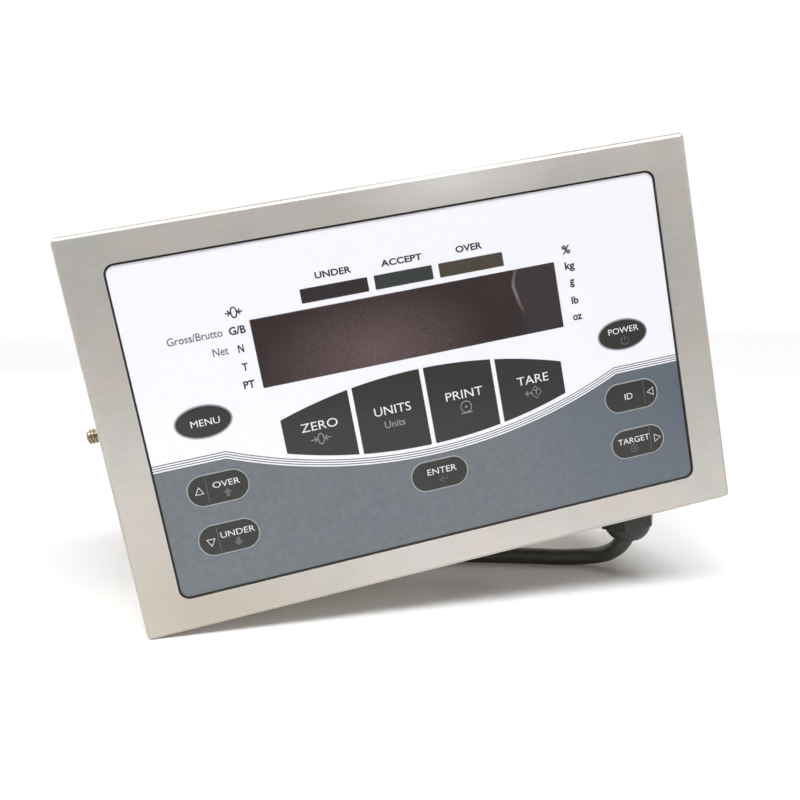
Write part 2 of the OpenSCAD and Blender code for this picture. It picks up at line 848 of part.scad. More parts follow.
module ribbon_cable() {
    top_y = display_back + header_d;
    low_y = main_y - header_d;
    half = ribbon_t / 2;
    color("lightslategray") {
        block(0, top_y, ribbon_top_z, ribbon_w, ribbon_y + half - top_y, ribbon_t);
        block(0, ribbon_y - half, (ribbon_top_z + ribbon_low_z) / 2, ribbon_w, ribbon_t,
            ribbon_top_z - ribbon_low_z + ribbon_t);
        block(0, ribbon_y - half, ribbon_low_z, ribbon_w, low_y - ribbon_y + half, ribbon_t);
    }
}

// Three wires from the end of the cord to the power terminals
module power_leads() {
    low_z = block_z - block_h / 2;
    color("saddlebrown") for (i = [-1:1]) {
        from = [gland_x, gland_y + i * wire_pitch, gland_top];
        to = [power_block_x + i * pole_pitch, pole_y, low_z];
        rise = [0, 0, 3];
        lift = [0, 0, i * wire_pitch];
        tube([
            from, from + rise, from * 0.75 + to * 0.25 + rise + lift / 2,
            from * 0.4 + to * 0.6 + rise / 3 + lift, to - 2 * rise + lift, to
        ], wire_r, 8);
    }
}

// Threaded studs in the two sides, headed inside the case
module side_studs() {
    wall_x = case_w / 2;
    tip_x = wall_x + pivot_l;
    color("whitesmoke") for (m = [0, 1]) mirror([m, 0, 0]) translate([0, pivot_y, 0]) rotate([0, 90, 0])
        rotate_extrude() polygon([
            [0, wall_x - sheet_t - pivot_head_t], [pivot_head_r, wall_x - sheet_t - pivot_head_t],
            [pivot_head_r, wall_x - sheet_t], [pivot_r + pivot_neck, wall_x - sheet_t],
            [pivot_r + pivot_neck, wall_x], [pivot_r, wall_x],
            [pivot_r, tip_x - pivot_chamfer], [pivot_r - pivot_chamfer, tip_x], [0, tip_x]
        ]);
}

module rear_gasket() {
    inset = cover_margin + gasket_margin;
    color("black") difference() {
        back(housing_d, gasket_t) round_rect(case_w - 2 * inset, case_h - 2 * inset, edge_r);
        back(housing_d - 1, gasket_t + 2)
            round_rect(case_w - 2 * flange_w, case_h - 2 * flange_w, opening_r);
        for (p = rim_screws) rod(p.x, housing_d - 1, p.y, screw_r + pass_gap, gasket_t + 2);
    }
}

module rear_cover() {
    color("silver") difference() {
        back(cover_y, sheet_t) round_rect(case_w - 2 * cover_margin, case_h - 2 * cover_margin, edge_r);
        for (p = rim_screws) rod(p.x, cover_y - 1, p.y, screw_r + pass_gap, sheet_t + 2);
    }
}

module cover_nuts() {
    y = housing_d - sheet_t - nut_h;
    color("lightgray") for (p = rim_screws) difference() {
        rod(p.x, y, p.y, hex_r(nut_af), nut_h, 6);
        rod(p.x, y - 1, p.y, screw_r + fit_gap, nut_h + 2);
    }
}

module cover_screws() {
    shank = sheet_t + nut_h + gasket_t + sheet_t + washer_t;
    head_y = cover_back + washer_t;
    color("gainsboro") for (p = rim_screws) difference() {
        union() {
            rod(p.x, head_y - shank, p.y, screw_r, shank);
            rod(p.x, head_y, p.y, head_r, head_h);
        }
        rod(p.x, head_y + head_h - socket_d, p.y, hex_r(socket_af), socket_d + 1, 6);
    }
}

module cover_washers() {
    color("dimgray") for (p = rim_screws) difference() {
        rod(p.x, cover_back, p.y, washer_r, washer_t);
        rod(p.x, cover_back - 1, p.y, screw_r + pass_gap, washer_t + 2);
    }
}

// A round or six-sided bar in the line of the gland, between two heights
module gland_bar(r, low, high, fn = 96) {
    translate([gland_x, gland_y, low]) cylinder(r = r, h = high - low, $fn = fn);
}

module gland_body() {
    color("black") difference() {
        union() {
            gland_bar(gland_thread_r, gland_seat, gland_top);
            gland_bar(hex_r(gland_af), gland_shoulder, gland_seat, 6);
            gland_bar(gland_neck_r, gland_neck_low, gland_shoulder);
        }
        gland_bar(gland_bore_r, gland_neck_low - 1, gland_top + 1);
    }
}

// The gland and the two spare ports share one pattern
module at_ports() {
    for (x = concat([gland_x], port_xs())) translate([x - gland_x, 0, 0]) children();
}

module port_washers() {
    color("dimgray") at_ports() difference() {
        gland_bar(gland_af / 2, gland_seat, under);
        gland_bar(gland_thread_r + fit_gap, gland_seat - 1, under + 1);
    }
}

module port_locknuts() {
    low = under + sheet_t;
    color("black") at_ports() difference() {
        gland_bar(hex_r(locknut_af), low, low + locknut_h, 6);
        gland_bar(gland_thread_r + fit_gap, low - 1, low + locknut_h + 1);
    }
}

module gland_insert() {
    color("dimgray") difference() {
        gland_bar(gland_bore_r - fit_gap, gland_neck_low, gland_shoulder);
        gland_bar(cord_bore_r, gland_neck_low - 1, gland_shoulder + 1);
    }
}

module gland_nut() {
    color("black") difference() {
        union() {
            gland_bar(hex_r(gland_af), gland_nut_low, gland_nut_top, 6);
            intersection() {
                translate([gland_x, gland_y, gland_ball_z]) sphere(r = gland_ball_r);
                gland_bar(gland_ball_r, gland_tip, gland_nut_low);
            }
        }
        gland_bar(gland_neck_r + fit_gap, gland_neck_low - pass_gap, gland_nut_top + 1);
        gland_bar(gland_mouth_r, gland_tip - 1, gland_nut_top);
    }
}

// Blind plugs in the ports that are not used
module port_plugs() {
    color("black") for (x = port_xs()) translate([x - gland_x, 0, 0]) {
        gland_bar(gland_thread_r, gland_seat, gland_top);
        gland_bar(hex_r(gland_af), gland_seat - port_cap_h, gland_seat, 6);
    }
}

module cord_run() {
    color("black") tube(cord_route, cord_r, 12);
}

module cord_lead() {
    color("black") tube(lead_route, cord_r, 12);
}

module cord_coil() {
    color("black") translate([coil_at.x, coil_at.y, coil_z]) rotate_extrude()
        translate([coil_in_r, 0]) square([coil_out_r - coil_in_r, coil_h]);
}

// Band round the left side of the coil
module cord_tie() {
    in_x = sqrt(coil_in_r * coil_in_r - tie_w * tie_w / 4) - fit_gap;
    out_x = coil_out_r + fit_gap;
    color("black") translate([coil_at.x, coil_at.y + tie_w / 2, 0]) rotate([90, 0, 0]) linear_extrude(tie_w)
        difference() {
            translate([-out_x - tie_t, 0]) square([out_x - in_x + 2 * tie_t, coil_z + coil_h + fit_gap + tie_t]);
            translate([-out_x, tie_t]) square([out_x - in_x, coil_z + coil_h + fit_gap - tie_t]);
        }
}

// Moulded plug that lies on the table, with a tapered sleeve round the cord
module plug_body() {
    color("black") translate(plug_at) {
        rotate([0, 90, 0]) cylinder(r1 = cord_r + 1, r2 = plug_h / 2 - 1, h = sleeve_l);
        translate([sleeve_l, 0, 0]) rotate([90, 0, 90]) linear_extrude(plug_l) round_rect(plug_w, plug_h, plug_edge_r);
    }
}

module plug_blades() {
    color("gold") translate(plug_at + [sleeve_l + plug_l, 0, 0]) {
        for (s = [-1, 1]) translate([0, s * blade_pitch / 2 - blade_t / 2, -blade_w / 2]) cube([blade_l, blade_t, blade_w]);
        translate([0, 0, earth_z]) rotate([0, 90, 0]) cylinder(r = earth_r, h = blade_l + earth_past);
    }
}

as_rested() front_housing();
as_rested() panel_studs();
as_rested() panel_nuts();
as_rested() panel_seal();
as_rested() panel_plate();
as_rested() graphic_overlay();
as_rested() keypad_spacer();
as_rested() switch_domes();
as_rested() keypad_circuit();
as_rested() keypad_tail();
as_rested() zero_key();
as_rested() units_key();
as_rested() print_key();
as_rested() tare_key();
as_rested() menu_key();
as_rested() power_key();
as_rested() over_key();
as_rested() under_key();
as_rested() enter_key();
as_rested() id_key();
as_rested() target_key();
as_rested() display_filter();
as_rested() under_filter();
as_rested() accept_filter();
as_rested() over_filter();
as_rested() display_board();
as_rested() led_digits();
as_rested() status_bars();
as_rested() annunciator_leds();
as_rested() main_board();
as_rested() board_standoffs();
as_rested() board_screws();
as_rested() processor_chips();
as_rested() setpoint_relays();
as_rested() transformer();
as_rested() capacitors();
as_rested() fuse_holder();
as_rested() terminal_blocks();
as_rested() board_connectors();
as_rested() ribbon_cable();
as_rested() power_leads();
as_rested() side_studs();
as_rested() rear_gasket();
as_rested() rear_cover();
as_rested() cover_nuts();
as_rested() cover_screws();
as_rested() cover_washers();
as_rested() gland_body();
as_rested() port_washers();
as_rested() port_locknuts();
as_rested() gland_insert();
as_rested() gland_nut();
as_rested() port_plugs();
cord_run();
cord_coil();
cord_lead();
cord_tie();
plug_body();
plug_blades();
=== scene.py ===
# %% [markdown]
# A checkweigher's indicator head: a box of brushed stainless sheet with a membrane keypad in its
# face, a threaded stud in each side and a cord through a gland in its underside. It lies on a
# white table, leaning on its lower left edge and on the cord. This lesson dresses the packed
# construction model. First the model is loaded, and the box that the dressed part has to stay in
# is noted.

# %% Load the construction model
import math

import bmesh
import bpy
from mathutils import Matrix, Vector


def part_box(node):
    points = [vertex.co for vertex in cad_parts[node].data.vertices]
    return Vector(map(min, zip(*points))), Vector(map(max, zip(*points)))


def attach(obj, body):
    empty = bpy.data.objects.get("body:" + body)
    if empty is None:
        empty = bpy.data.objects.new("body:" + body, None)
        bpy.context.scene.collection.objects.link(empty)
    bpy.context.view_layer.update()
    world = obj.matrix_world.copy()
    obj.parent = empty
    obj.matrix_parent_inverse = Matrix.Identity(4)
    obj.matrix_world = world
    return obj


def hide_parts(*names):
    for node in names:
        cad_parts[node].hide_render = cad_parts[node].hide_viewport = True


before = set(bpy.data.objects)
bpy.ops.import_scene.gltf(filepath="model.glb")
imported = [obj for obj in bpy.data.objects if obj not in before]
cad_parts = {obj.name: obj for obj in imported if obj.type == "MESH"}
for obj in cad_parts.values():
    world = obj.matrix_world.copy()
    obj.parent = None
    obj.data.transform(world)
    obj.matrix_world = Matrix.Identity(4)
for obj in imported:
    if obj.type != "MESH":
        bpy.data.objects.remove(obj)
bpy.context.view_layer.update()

# %% [markdown]
# The case is easiest to think of upright and in millimetres: x to the right, y from the face to
# the back, z up from the middle of the face. One matrix then lays such a drawing down as the case
# lies, at an angle on the table. The middle of the face comes from the housing's own box, so the
# dressing follows the model when that is moved.

# %% Lay of the case
MM = 0.001
LEAN_ANGLE = math.radians(10.7)
housing_low, housing_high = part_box("front_housing")
housing_middle = (housing_low + housing_high) / 2
FACE_MIDDLE = Vector((housing_middle.x, housing_low.y, housing_middle.z))
LEAN = Matrix.Translation(FACE_MIDDLE) @ Matrix.Rotation(-LEAN_ANGLE, 4, "Y") @ Matrix.Scale(MM, 4)
UPRIGHT = LEAN.inverted()
print("middle of the face", [round(v, 4) for v in FACE_MIDDLE])

# %% [markdown]
# The camera stands where the photographer's stood: a little left of the case and above it, turned
# to the right and looking down slightly. Its place was solved from the corners of the case and of
# the panel opening, so no shift is needed.

# %% Camera
CAMERA_AT = Vector((-0.06499, -0.33287, 0.12371))
CAMERA_AHEAD = Vector((0.1841, 0.976, -0.1167))
CAMERA_LENS = 35.92
CAMERA_SENSOR = 36
camera = bpy.data.objects.new("camera", bpy.data.cameras.new("camera"))
camera.data.lens = CAMERA_LENS
camera.data.sensor_width = CAMERA_SENSOR
camera.data.clip_start = 0.01
camera.location = CAMERA_AT
camera.rotation_euler = CAMERA_AHEAD.to_track_quat("-Z", "Y").to_euler()
bpy.context.scene.collection.objects.link(camera)
bpy.context.scene.camera = camera
bpy.context.scene.view_settings.view_transform = "Standard"
print("camera at", [round(v, 3) for v in camera.location])

# %% [markdown]
# The cord is one length of round flexible lead. It leaves the gland, bends down to the table and
# runs behind the case, where the rest is wound into a neat coil, two turns wide and four high. A
# curve with a round bevel is the natural tool: its line is the cord's middle, and its length can be
# measured. The loose stretches are points given one by one. The coil is a loop: five sixths of a
# turn apart, the line steps inwards, climbs a layer, steps outwards, climbs again and so on, so that
# no step lies on another.

# %% Route of the cord
CORD_R = 3.8
GLAND_X = 89.4
GLAND_Y = 36
GLAND_HEIGHTS = (-67, -76, -89.2)
COIL_AT = Vector((-50, 84))
COIL_LOW = 4.8
TURN_PITCH = 7.8
OUTER_TURN_R = 42.4
COIL_TURNS = 6.5
STEPS_A_TURN = 18
STEP_EVERY = 5 / 6
STEP_SHARE = 1 / 6

loose_start = [
    (104.2, 0.5, 19), (102.6, 2.2, 14.4), (100.3, 6, 10), (96.9, 11.2, 6.6), (92.4, 15.4, 4.8),
    (86.2, 18, 4), (79.4, 19.6, 3.8), (71, 22.2, 3.8), (61.7, 25, 3.8), (50, 28.2, 3.8),
    (38, 31.4, 3.8), (26, 34.3, 3.8), (10, 37.4, 3.8), (-5, 39.4, 3.8), (-20, 40.8, 3.9),
    (-35, 41.4, 4.2),
]
loose_end = [
    (-36, 126.4, 27.8), (-30, 126.4, 26.8), (-24.5, 126.3, 24.8), (-18, 125.8, 21), (-10, 124.4, 15.6),
    (-1, 122, 10.2), (9, 119, 6), (19, 116.4, 4.3), (29, 114.8, 5.6), (38, 114.2, 8.6),
    (46, 114, 10.6), (54, 114, 11),
]


def eased(share):
    t = min(max(share, 0), 1)
    return t * t * (3 - 2 * t)


def coil_point(turn):
    inward, up, outward, up_2, inward_2, up_3, outward_2 = (
        eased((turn - k * STEP_EVERY) / STEP_SHARE) for k in range(1, 8)
    )
    radius = OUTER_TURN_R + TURN_PITCH * (outward - inward + outward_2 - inward_2)
    height = COIL_LOW + TURN_PITCH * (up + up_2 + up_3)
    angle = -math.pi / 2 - 2 * math.pi * turn
    return (COIL_AT.x + radius * math.cos(angle), COIL_AT.y + radius * math.sin(angle), height)


in_gland = [LEAN @ Vector((GLAND_X, GLAND_Y, z)) for z in GLAND_HEIGHTS]
coil = [coil_point(i / STEPS_A_TURN) for i in range(int(COIL_TURNS * STEPS_A_TURN) + 1)]
cord_points = in_gland + [Vector(p) * MM for p in loose_start + coil + loose_end]
print("cord points", len(cord_points))

# %% Cord
cord_curve = bpy.data.curves.new("cord", "CURVE")
cord_curve.dimensions = "3D"
cord_curve.bevel_depth = CORD_R * MM
cord_curve.bevel_resolution = 5
cord_curve.resolution_u = 5
cord_curve.use_fill_caps = True
spline = cord_curve.splines.new("BEZIER")
spline.bezier_points.add(len(cord_points) - 1)
for knot, point in zip(spline.bezier_points, cord_points):
    knot.co = point
    knot.handle_left_type = "AUTO"
    knot.handle_right_type = "AUTO"
cord = bpy.data.objects.new("cord", cord_curve)
bpy.context.scene.collection.objects.link(cord)

# %% [markdown]
# The table is a wide pale plane. To the camera it is white all over except where the case shades
# it: its paint is a matt white that also glows faintly for rays that come from the camera or from a
# mirror, so the lit floor reaches white with no extra light on the case.

# %% Table
FLOOR_HALF = 3.0
FLOOR_WHITE = 0.98
FLOOR_GLOW = 0.05


def flat_plane(name, half_x, half_y):
    """A level rectangle round the origin, with a plain material."""
    bm = bmesh.new()
    bmesh.ops.create_grid(bm, x_segments=1, y_segments=1, size=1)
    bmesh.ops.scale(bm, vec=(half_x, half_y, 1), verts=bm.verts)
    plane = bpy.data.objects.new(name, bpy.data.meshes.new(name))
    bm.to_mesh(plane.data)
    bm.free()
    bpy.context.scene.collection.objects.link(plane)
    material = bpy.data.materials.new(name + "_paint")
    material.use_nodes = True
    plane.data.materials.append(material)
    return plane, material.node_tree


def seen_directly(tree):
    """A socket that is 1 for rays from the camera, a mirror or glass."""
    rays = tree.nodes.new("ShaderNodeLightPath")
    seen = rays.outputs["Is Camera Ray"]
    for kind in ("Is Glossy Ray", "Is Transmission Ray"):
        either = tree.nodes.new("ShaderNodeMath")
        either.operation = "MAXIMUM"
        tree.links.new(seen, either.inputs[0])
        tree.links.new(rays.outputs[kind], either.inputs[1])
        seen = either.outputs[0]
    return seen


table, table_tree = flat_plane("table", FLOOR_HALF, FLOOR_HALF)
paint = table_tree.nodes["Principled BSDF"]
paint.inputs["Base Color"].default_value = (FLOOR_WHITE, FLOOR_WHITE, FLOOR_WHITE, 1)
paint.inputs["Roughness"].default_value = 0.9
paint.inputs["Specular IOR Level"].default_value = 0.1
paint.inputs["Emission Color"].default_value = (1, 0.92, 0.8, 1)
glow = table_tree.nodes.new("ShaderNodeMath")
glow.operation = "MULTIPLY"
glow.inputs[1].default_value = FLOOR_GLOW
table_tree.links.new(seen_directly(table_tree), glow.inputs[0])
table_tree.links.new(glow.outputs[0], paint.inputs["Emission Strength"])
print("table", 2 * FLOOR_HALF, "m across")

# %% [markdown]
# The light is that of a plain white studio: a dim even world, a broad soft lamp overhead, a little
# warm, and a long strip across the front, made of three small suns side by side. A strip's shadow
# has a firm front border and soft ends. Suns light the whole table alike. A soft lamp past the left
# end keeps the table white under the leaning end wall, and one behind lights the back. Straight
# into the camera the world is pure white.

# %% World and lamps
WORLD_LIGHT = 0.07
WARM = (1, 0.88, 0.72)
COOL = (0.98, 1, 1.04)
world = bpy.data.worlds.new("studio")
bpy.context.scene.world = world
world.use_nodes = True
sky = world.node_tree.nodes["Background"]
directly = seen_directly(world.node_tree)
level = world.node_tree.nodes.new("ShaderNodeMapRange")
level.inputs["To Min"].default_value = WORLD_LIGHT
level.inputs["To Max"].default_value = 1
tone = world.node_tree.nodes.new("ShaderNodeMix")
tone.data_type = "RGBA"
tone.inputs[6].default_value = WARM + (1,)
tone.inputs[7].default_value = (1, 1, 1, 1)
world.node_tree.links.new(directly, level.inputs["Value"])
world.node_tree.links.new(directly, tone.inputs["Factor"])
world.node_tree.links.new(level.outputs["Result"], sky.inputs["Strength"])
world.node_tree.links.new(tone.outputs[2], sky.inputs["Color"])


def wide_sun(name, toward, level, width, tint):
    """A sun in the direction toward, which gives a level floor that much light."""
    lamp = bpy.data.objects.new(name, bpy.data.lights.new(name, "SUN"))
    direction = Vector(toward).normalized()
    lamp.data.energy = level * math.pi / direction.z
    lamp.data.angle = math.radians(width)
    lamp.data.color = tint
    lamp.rotation_euler = direction.to_track_quat("Z", "Y").to_euler()
    bpy.context.scene.collection.objects.link(lamp)


def soft_lamp(name, at, aim, size, watts):
    lamp = bpy.data.objects.new(name, bpy.data.lights.new(name, "AREA"))
    lamp.data.shape = "SQUARE"
    lamp.data.size = size
    lamp.data.energy = watts
    lamp.location = at
    lamp.rotation_euler = (Vector(aim) - Vector(at)).to_track_quat("-Z", "Y").to_euler()
    bpy.context.scene.collection.objects.link(lamp)


STRIP_SIDES = (-0.42, 0.02, 0.42)
STRIP_FORWARD = 0.66
STRIP_LEVEL = 0.27
STRIP_WIDTH = 19
OVERHEAD_LEVEL = 0.07
OVERHEAD_WIDTH = 64
for number, side in enumerate(STRIP_SIDES):
    wide_sun(f"lamp_front_{number}", (side, -STRIP_FORWARD, 1), STRIP_LEVEL, STRIP_WIDTH, COOL)
wide_sun("lamp_overhead", (0, -0.1, 0.99), OVERHEAD_LEVEL, OVERHEAD_WIDTH, WARM)
soft_lamp("lamp_left", (-0.48, 0.02, 0.3), (-0.15, 0, 0), 0.3, 0.45)
soft_lamp("lamp_back", (-0.4, 0.9, 0.7), (0, 0, 0.1), 0.7, 2)

# %% [markdown]
# Glossy film and steel look like what they mirror. In a room that is the white table in their lower
# half and something darker above it. A grey card close behind the camera does the same, and is seen
# by mirrors only.

# %% Grey card
CARD_LEVEL = 0.58
CARD_HALF_W = 1.3
CARD_HALF_H = 0.19
CARD_Y = -0.68
CARD_AT = Matrix.Translation((0, CARD_Y, CARD_HALF_H)) @ Matrix.Rotation(math.radians(90), 4, "X")
card, card_tree = flat_plane("grey_card", CARD_HALF_W, CARD_HALF_H)
card.data.transform(CARD_AT)
card.visible_camera = False
card.visible_shadow = False
card.visible_diffuse = False
card_shader = card_tree.nodes["Principled BSDF"]
card_shader.inputs["Base Color"].default_value = (0, 0, 0, 1)
card_shader.inputs["Specular IOR Level"].default_value = 0
card_shader.inputs["Emission Color"].default_value = (1, 1, 1, 1)
card_shader.inputs["Emission Strength"].default_value = CARD_LEVEL
print("card", 2 * CARD_HALF_W, "by", 2 * CARD_HALF_H, "m")

# %% [markdown]
# Every finish is a small node recipe. These helpers keep the recipes short: one gives the place on
# the surface in the case's own upright millimetres, others add a noise, mix two colours by it,
# turn it into a range of roughness or into a bump. Colours are written as they look on a screen.

# %% Helpers for finishes
def screen(red, green, blue):
    def linear(v):
        c = v / 255
        return c / 12.92 if c <= 0.04045 else ((c + 0.055) / 1.055) ** 2.4
    return (linear(red), linear(green), linear(blue), 1)


class Finish:
    """One material and the nodes that paint it."""

    def __init__(self, name):
        self.material = bpy.data.materials.new(name)
        self.material.use_nodes = True
        self.tree = self.material.node_tree
        self.shader = self.tree.nodes["Principled BSDF"]

    def put(self, **values):
        for name, value in values.items():
            self.shader.inputs[name.replace("_", " ")].default_value = value
        return self

    def feed(self, socket, name):
        self.tree.links.new(socket, self.shader.inputs[name])

    def node(self, kind, **settings):
        made = self.tree.nodes.new(kind)
        for name, value in settings.items():
            setattr(made, name, value)
        return made

    def place(self, upright=True):
        coordinates = self.node("ShaderNodeTexCoord")
        mapping = self.node("ShaderNodeMapping", vector_type="TEXTURE")
        if upright:
            mapping.inputs["Location"].default_value = FACE_MIDDLE
            mapping.inputs["Rotation"].default_value = (0, -LEAN_ANGLE, 0)
        mapping.inputs["Scale"].default_value = (MM, MM, MM)
        self.tree.links.new(coordinates.outputs["Object"], mapping.inputs["Vector"])
        return mapping.outputs["Vector"]

    def stretched(self, place, stretch):
        mapping = self.node("ShaderNodeMapping")
        mapping.inputs["Scale"].default_value = stretch
        self.tree.links.new(place, mapping.inputs["Vector"])
        return mapping.outputs["Vector"]

    def noise(self, place, stretch, detail=3.0, rough=0.5):
        texture = self.node("ShaderNodeTexNoise")
        texture.inputs["Scale"].default_value = 1.0
        texture.inputs["Detail"].default_value = detail
        texture.inputs["Roughness"].default_value = rough
        self.tree.links.new(self.stretched(place, stretch), texture.inputs["Vector"])
        return texture.outputs["Fac"]

    def patch(self, place, middle, half, soft=0.8):
        """1 inside an oval on the face, fading to 0 at its rim."""
        mapping = self.node("ShaderNodeMapping", vector_type="TEXTURE")
        mapping.inputs["Location"].default_value = (middle[0], 0, middle[1])
        mapping.inputs["Scale"].default_value = (half[0], 1000, half[1])
        self.tree.links.new(place, mapping.inputs["Vector"])
        reach = self.node("ShaderNodeVectorMath", operation="LENGTH")
        self.tree.links.new(mapping.outputs["Vector"], reach.inputs[0])
        return self.between(reach.outputs["Value"], 1, 0, 1 - soft, 1)

    def give(self, socket, value):
        if isinstance(value, bpy.types.NodeSocket):
            self.tree.links.new(value, socket)
        else:
            socket.default_value = value

    def maths(self, operation, first, second=0.0):
        made = self.node("ShaderNodeMath", operation=operation)
        self.give(made.inputs[0], first)
        self.give(made.inputs[1], second)
        return made.outputs[0]

    def between(self, factor, low, high, start=0.3, end=0.7):
        made = self.node("ShaderNodeMapRange")
        made.inputs["From Min"].default_value = start
        made.inputs["From Max"].default_value = end
        made.inputs["To Min"].default_value = low
        made.inputs["To Max"].default_value = high
        self.tree.links.new(factor, made.inputs["Value"])
        return made.outputs["Result"]

    def mixed(self, factor, first, second):
        made = self.node("ShaderNodeMix", data_type="RGBA")
        self.give(made.inputs["Factor"], factor)
        self.give(made.inputs[6], first)
        self.give(made.inputs[7], second)
        return made.outputs[2]

    def bumped(self, height, strength, distance):
        made = self.node("ShaderNodeBump")
        made.inputs["Strength"].default_value = strength
        made.inputs["Distance"].default_value = distance * MM
        self.tree.links.new(height, made.inputs["Height"])
        self.feed(made.outputs["Normal"], "Normal")


def grained(name, dark, light, rough, size, depth=0.02, upright=True, stretch=(1, 1, 1), **put):
    """A finish whose colour, roughness and surface vary with a noise of that size in mm."""
    finish = Finish(name).put(**put)
    place = finish.place(upright)
    wide = tuple(k / size for k in stretch)
    fine = tuple(6 * k / size for k in stretch)
    cloud = finish.noise(place, wide, detail=4)
    grain = finish.noise(place, fine, detail=2)
    finish.feed(finish.mixed(finish.between(cloud, 0, 1), dark, light), "Base Color")
    finish.feed(finish.between(grain, rough[0], rough[1]), "Roughness")
    finish.bumped(grain, 0.6, depth)
    return finish.material


print("finish helpers ready")

# %% [markdown]
# Stainless sheet is brushed along its length before it is bent. So the lines run along x on the
# face and the top, and carry on towards the back on the two ends. The recipe stretches a noise
# along the grain: it changes slowly along a line and quickly across it. Blotches of a warmer and a
# cooler grey stand for handling and old heat, and sparse dark marks for knocks. Two patches are
# painted light: a painted highlight on the middle of the top bezel, and painted shade over the low
# left corner. A cut edge is ground smooth, so it has a brighter recipe of its own.

# %% Brushed stainless
# Where the painted highlight and the painted shade lie on the face, and their half sizes.
PAINTED_HIGHLIGHT_AT = (24, 71)
PAINTED_HIGHLIGHT_HALF = (44, 14)
PAINTED_SHADE_AT = (-100, -75)
PAINTED_SHADE_HALF = (90, 65)


def brushed_steel(name, along, dark, light, with_painted_light=True):
    finish = Finish(name).put(Metallic=1.0, Anisotropic=0.3)
    place = finish.place()
    lines = finish.noise(place, along, detail=5, rough=0.7)
    fine_lines = finish.noise(place, tuple(3 * k for k in along), detail=3, rough=0.6)
    warm_blotch = finish.noise(place, (0.05, 0.06, 0.07), detail=4)
    cool_blotch = finish.noise(place, (0.033, 0.05, 0.045), detail=4, rough=0.6)
    knocks = finish.noise(place, (0.42, 0.42, 0.3), detail=2)
    grain = finish.between(lines, 0, 1, 0.25, 0.75)
    steel = finish.mixed(grain, dark, light)
    warmed = finish.mixed(finish.between(warm_blotch, 0, 0.32, 0.46, 0.7), steel, screen(220, 204, 186))
    cooled = finish.mixed(finish.between(cool_blotch, 0, 0.4, 0.46, 0.66), warmed, screen(192, 195, 189))
    marked = finish.mixed(finish.between(knocks, 0, 0.4, 0.73, 0.8), cooled, screen(146, 142, 135))
    # Two patches of painted light: a painted highlight on the top bezel, painted shade on the low left
    # corner.
    if with_painted_light:
        painted_highlight = finish.patch(place, PAINTED_HIGHLIGHT_AT, PAINTED_HIGHLIGHT_HALF, 1)
        painted_shade = finish.patch(place, PAINTED_SHADE_AT, PAINTED_SHADE_HALF, 1)
        marked = finish.mixed(painted_highlight, marked, screen(240, 237, 233))
        marked = finish.mixed(painted_shade, marked, screen(186, 178, 165))
    finish.feed(marked, "Base Color")
    finish.feed(finish.between(fine_lines, 0.28, 0.42, 0.25, 0.75), "Roughness")
    finish.bumped(fine_lines, 0.2, 0.03)
    return finish.material


FACE_TONES = (screen(203, 198, 192), screen(217, 212, 206))
# A darker copy of the face steel for the bends round the face: painted shade.
BEND_SHADE_TONES = (screen(174, 169, 161), screen(188, 183, 176))
steel_face = brushed_steel("brushed_steel_face", (0.04, 0.04, 1.8), *FACE_TONES)
steel_deck = brushed_steel("brushed_steel_deck", (0.04, 1.8, 0.04), *FACE_TONES, with_painted_light=False)
steel_bend_shade = brushed_steel("brushed_steel_bend_painted_shade", (0.04, 0.04, 1.8), *BEND_SHADE_TONES)
steel_edge = grained(
    "ground_steel_edge", screen(222, 220, 214), screen(238, 236, 231), (0.2, 0.3), 2, 0.01, Metallic=1.0,
)
print("steel finishes", steel_face.name, steel_deck.name, steel_bend_shade.name, steel_edge.name)

# %% [markdown]
# Most metal pieces can be copied from the construction model and only need their edges broken, as
# a real cut edge is deburred so that it doesn't cut fingers. The model's mesh is loose triangles.
# The copy merges them, dissolves flat areas into single faces and bevels every sharp edge. A
# weighted normal modifier keeps the flat faces flat beside the soft edges.

# %% Helpers for pieces
def link_piece(name, bm, materials, body, replaced=()):
    mesh = bpy.data.meshes.new(name)
    bm.to_mesh(mesh)
    bm.free()
    piece = bpy.data.objects.new(name, mesh)
    bpy.context.scene.collection.objects.link(piece)
    for material in materials:
        mesh.materials.append(material)
    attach(piece, body)
    if replaced:
        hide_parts(*replaced)
    return piece


def smooth(piece, angle=40):
    piece.data.shade_smooth()
    piece.data.set_sharp_from_angle(angle=math.radians(angle))
    weighted = piece.modifiers.new("weighted_normals", "WEIGHTED_NORMAL")
    weighted.keep_sharp = True
    return piece


MERGE_GAP = 0.0005
FLAT_ANGLE = math.radians(0.5)


def merged_copy(node):
    """The node's mesh in upright millimetres, its triangles merged into flat faces."""
    bm = bmesh.new()
    bm.from_mesh(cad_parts[node].data)
    bmesh.ops.transform(bm, matrix=UPRIGHT, verts=bm.verts)
    bmesh.ops.remove_doubles(bm, verts=bm.verts, dist=MERGE_GAP)
    bmesh.ops.dissolve_limit(bm, angle_limit=FLAT_ANGLE, verts=bm.verts, edges=bm.edges)
    return bm


def corners(bm):
    low = Vector([min(v.co[i] for v in bm.verts) for i in range(3)])
    high = Vector([max(v.co[i] for v in bm.verts) for i in range(3)])
    return low, high


def new_verts(result):
    return [v for v in result["geom"] if isinstance(v, bmesh.types.BMVert)]


def sharp_edges(bm, angle=35):
    limit = math.radians(angle)
    return [e for e in bm.edges if len(e.link_faces) == 2 and e.calc_face_angle() > limit]


def break_edges(bm, width, segments=2):
    bmesh.ops.bevel(
        bm, geom=sharp_edges(bm), offset=width, offset_type="OFFSET", segments=segments,
        profile=0.5, affect="EDGES", clamp_overlap=True, material=-1,
    )


def deburred(node, width, material, segments=2):
    bm = merged_copy(node)
    break_edges(bm, width, segments)
    bmesh.ops.transform(bm, matrix=LEAN, verts=bm.verts)
    piece = link_piece(node + "_piece", bm, [material], "case", (node,))
    return smooth(piece)


print("piece helpers ready")
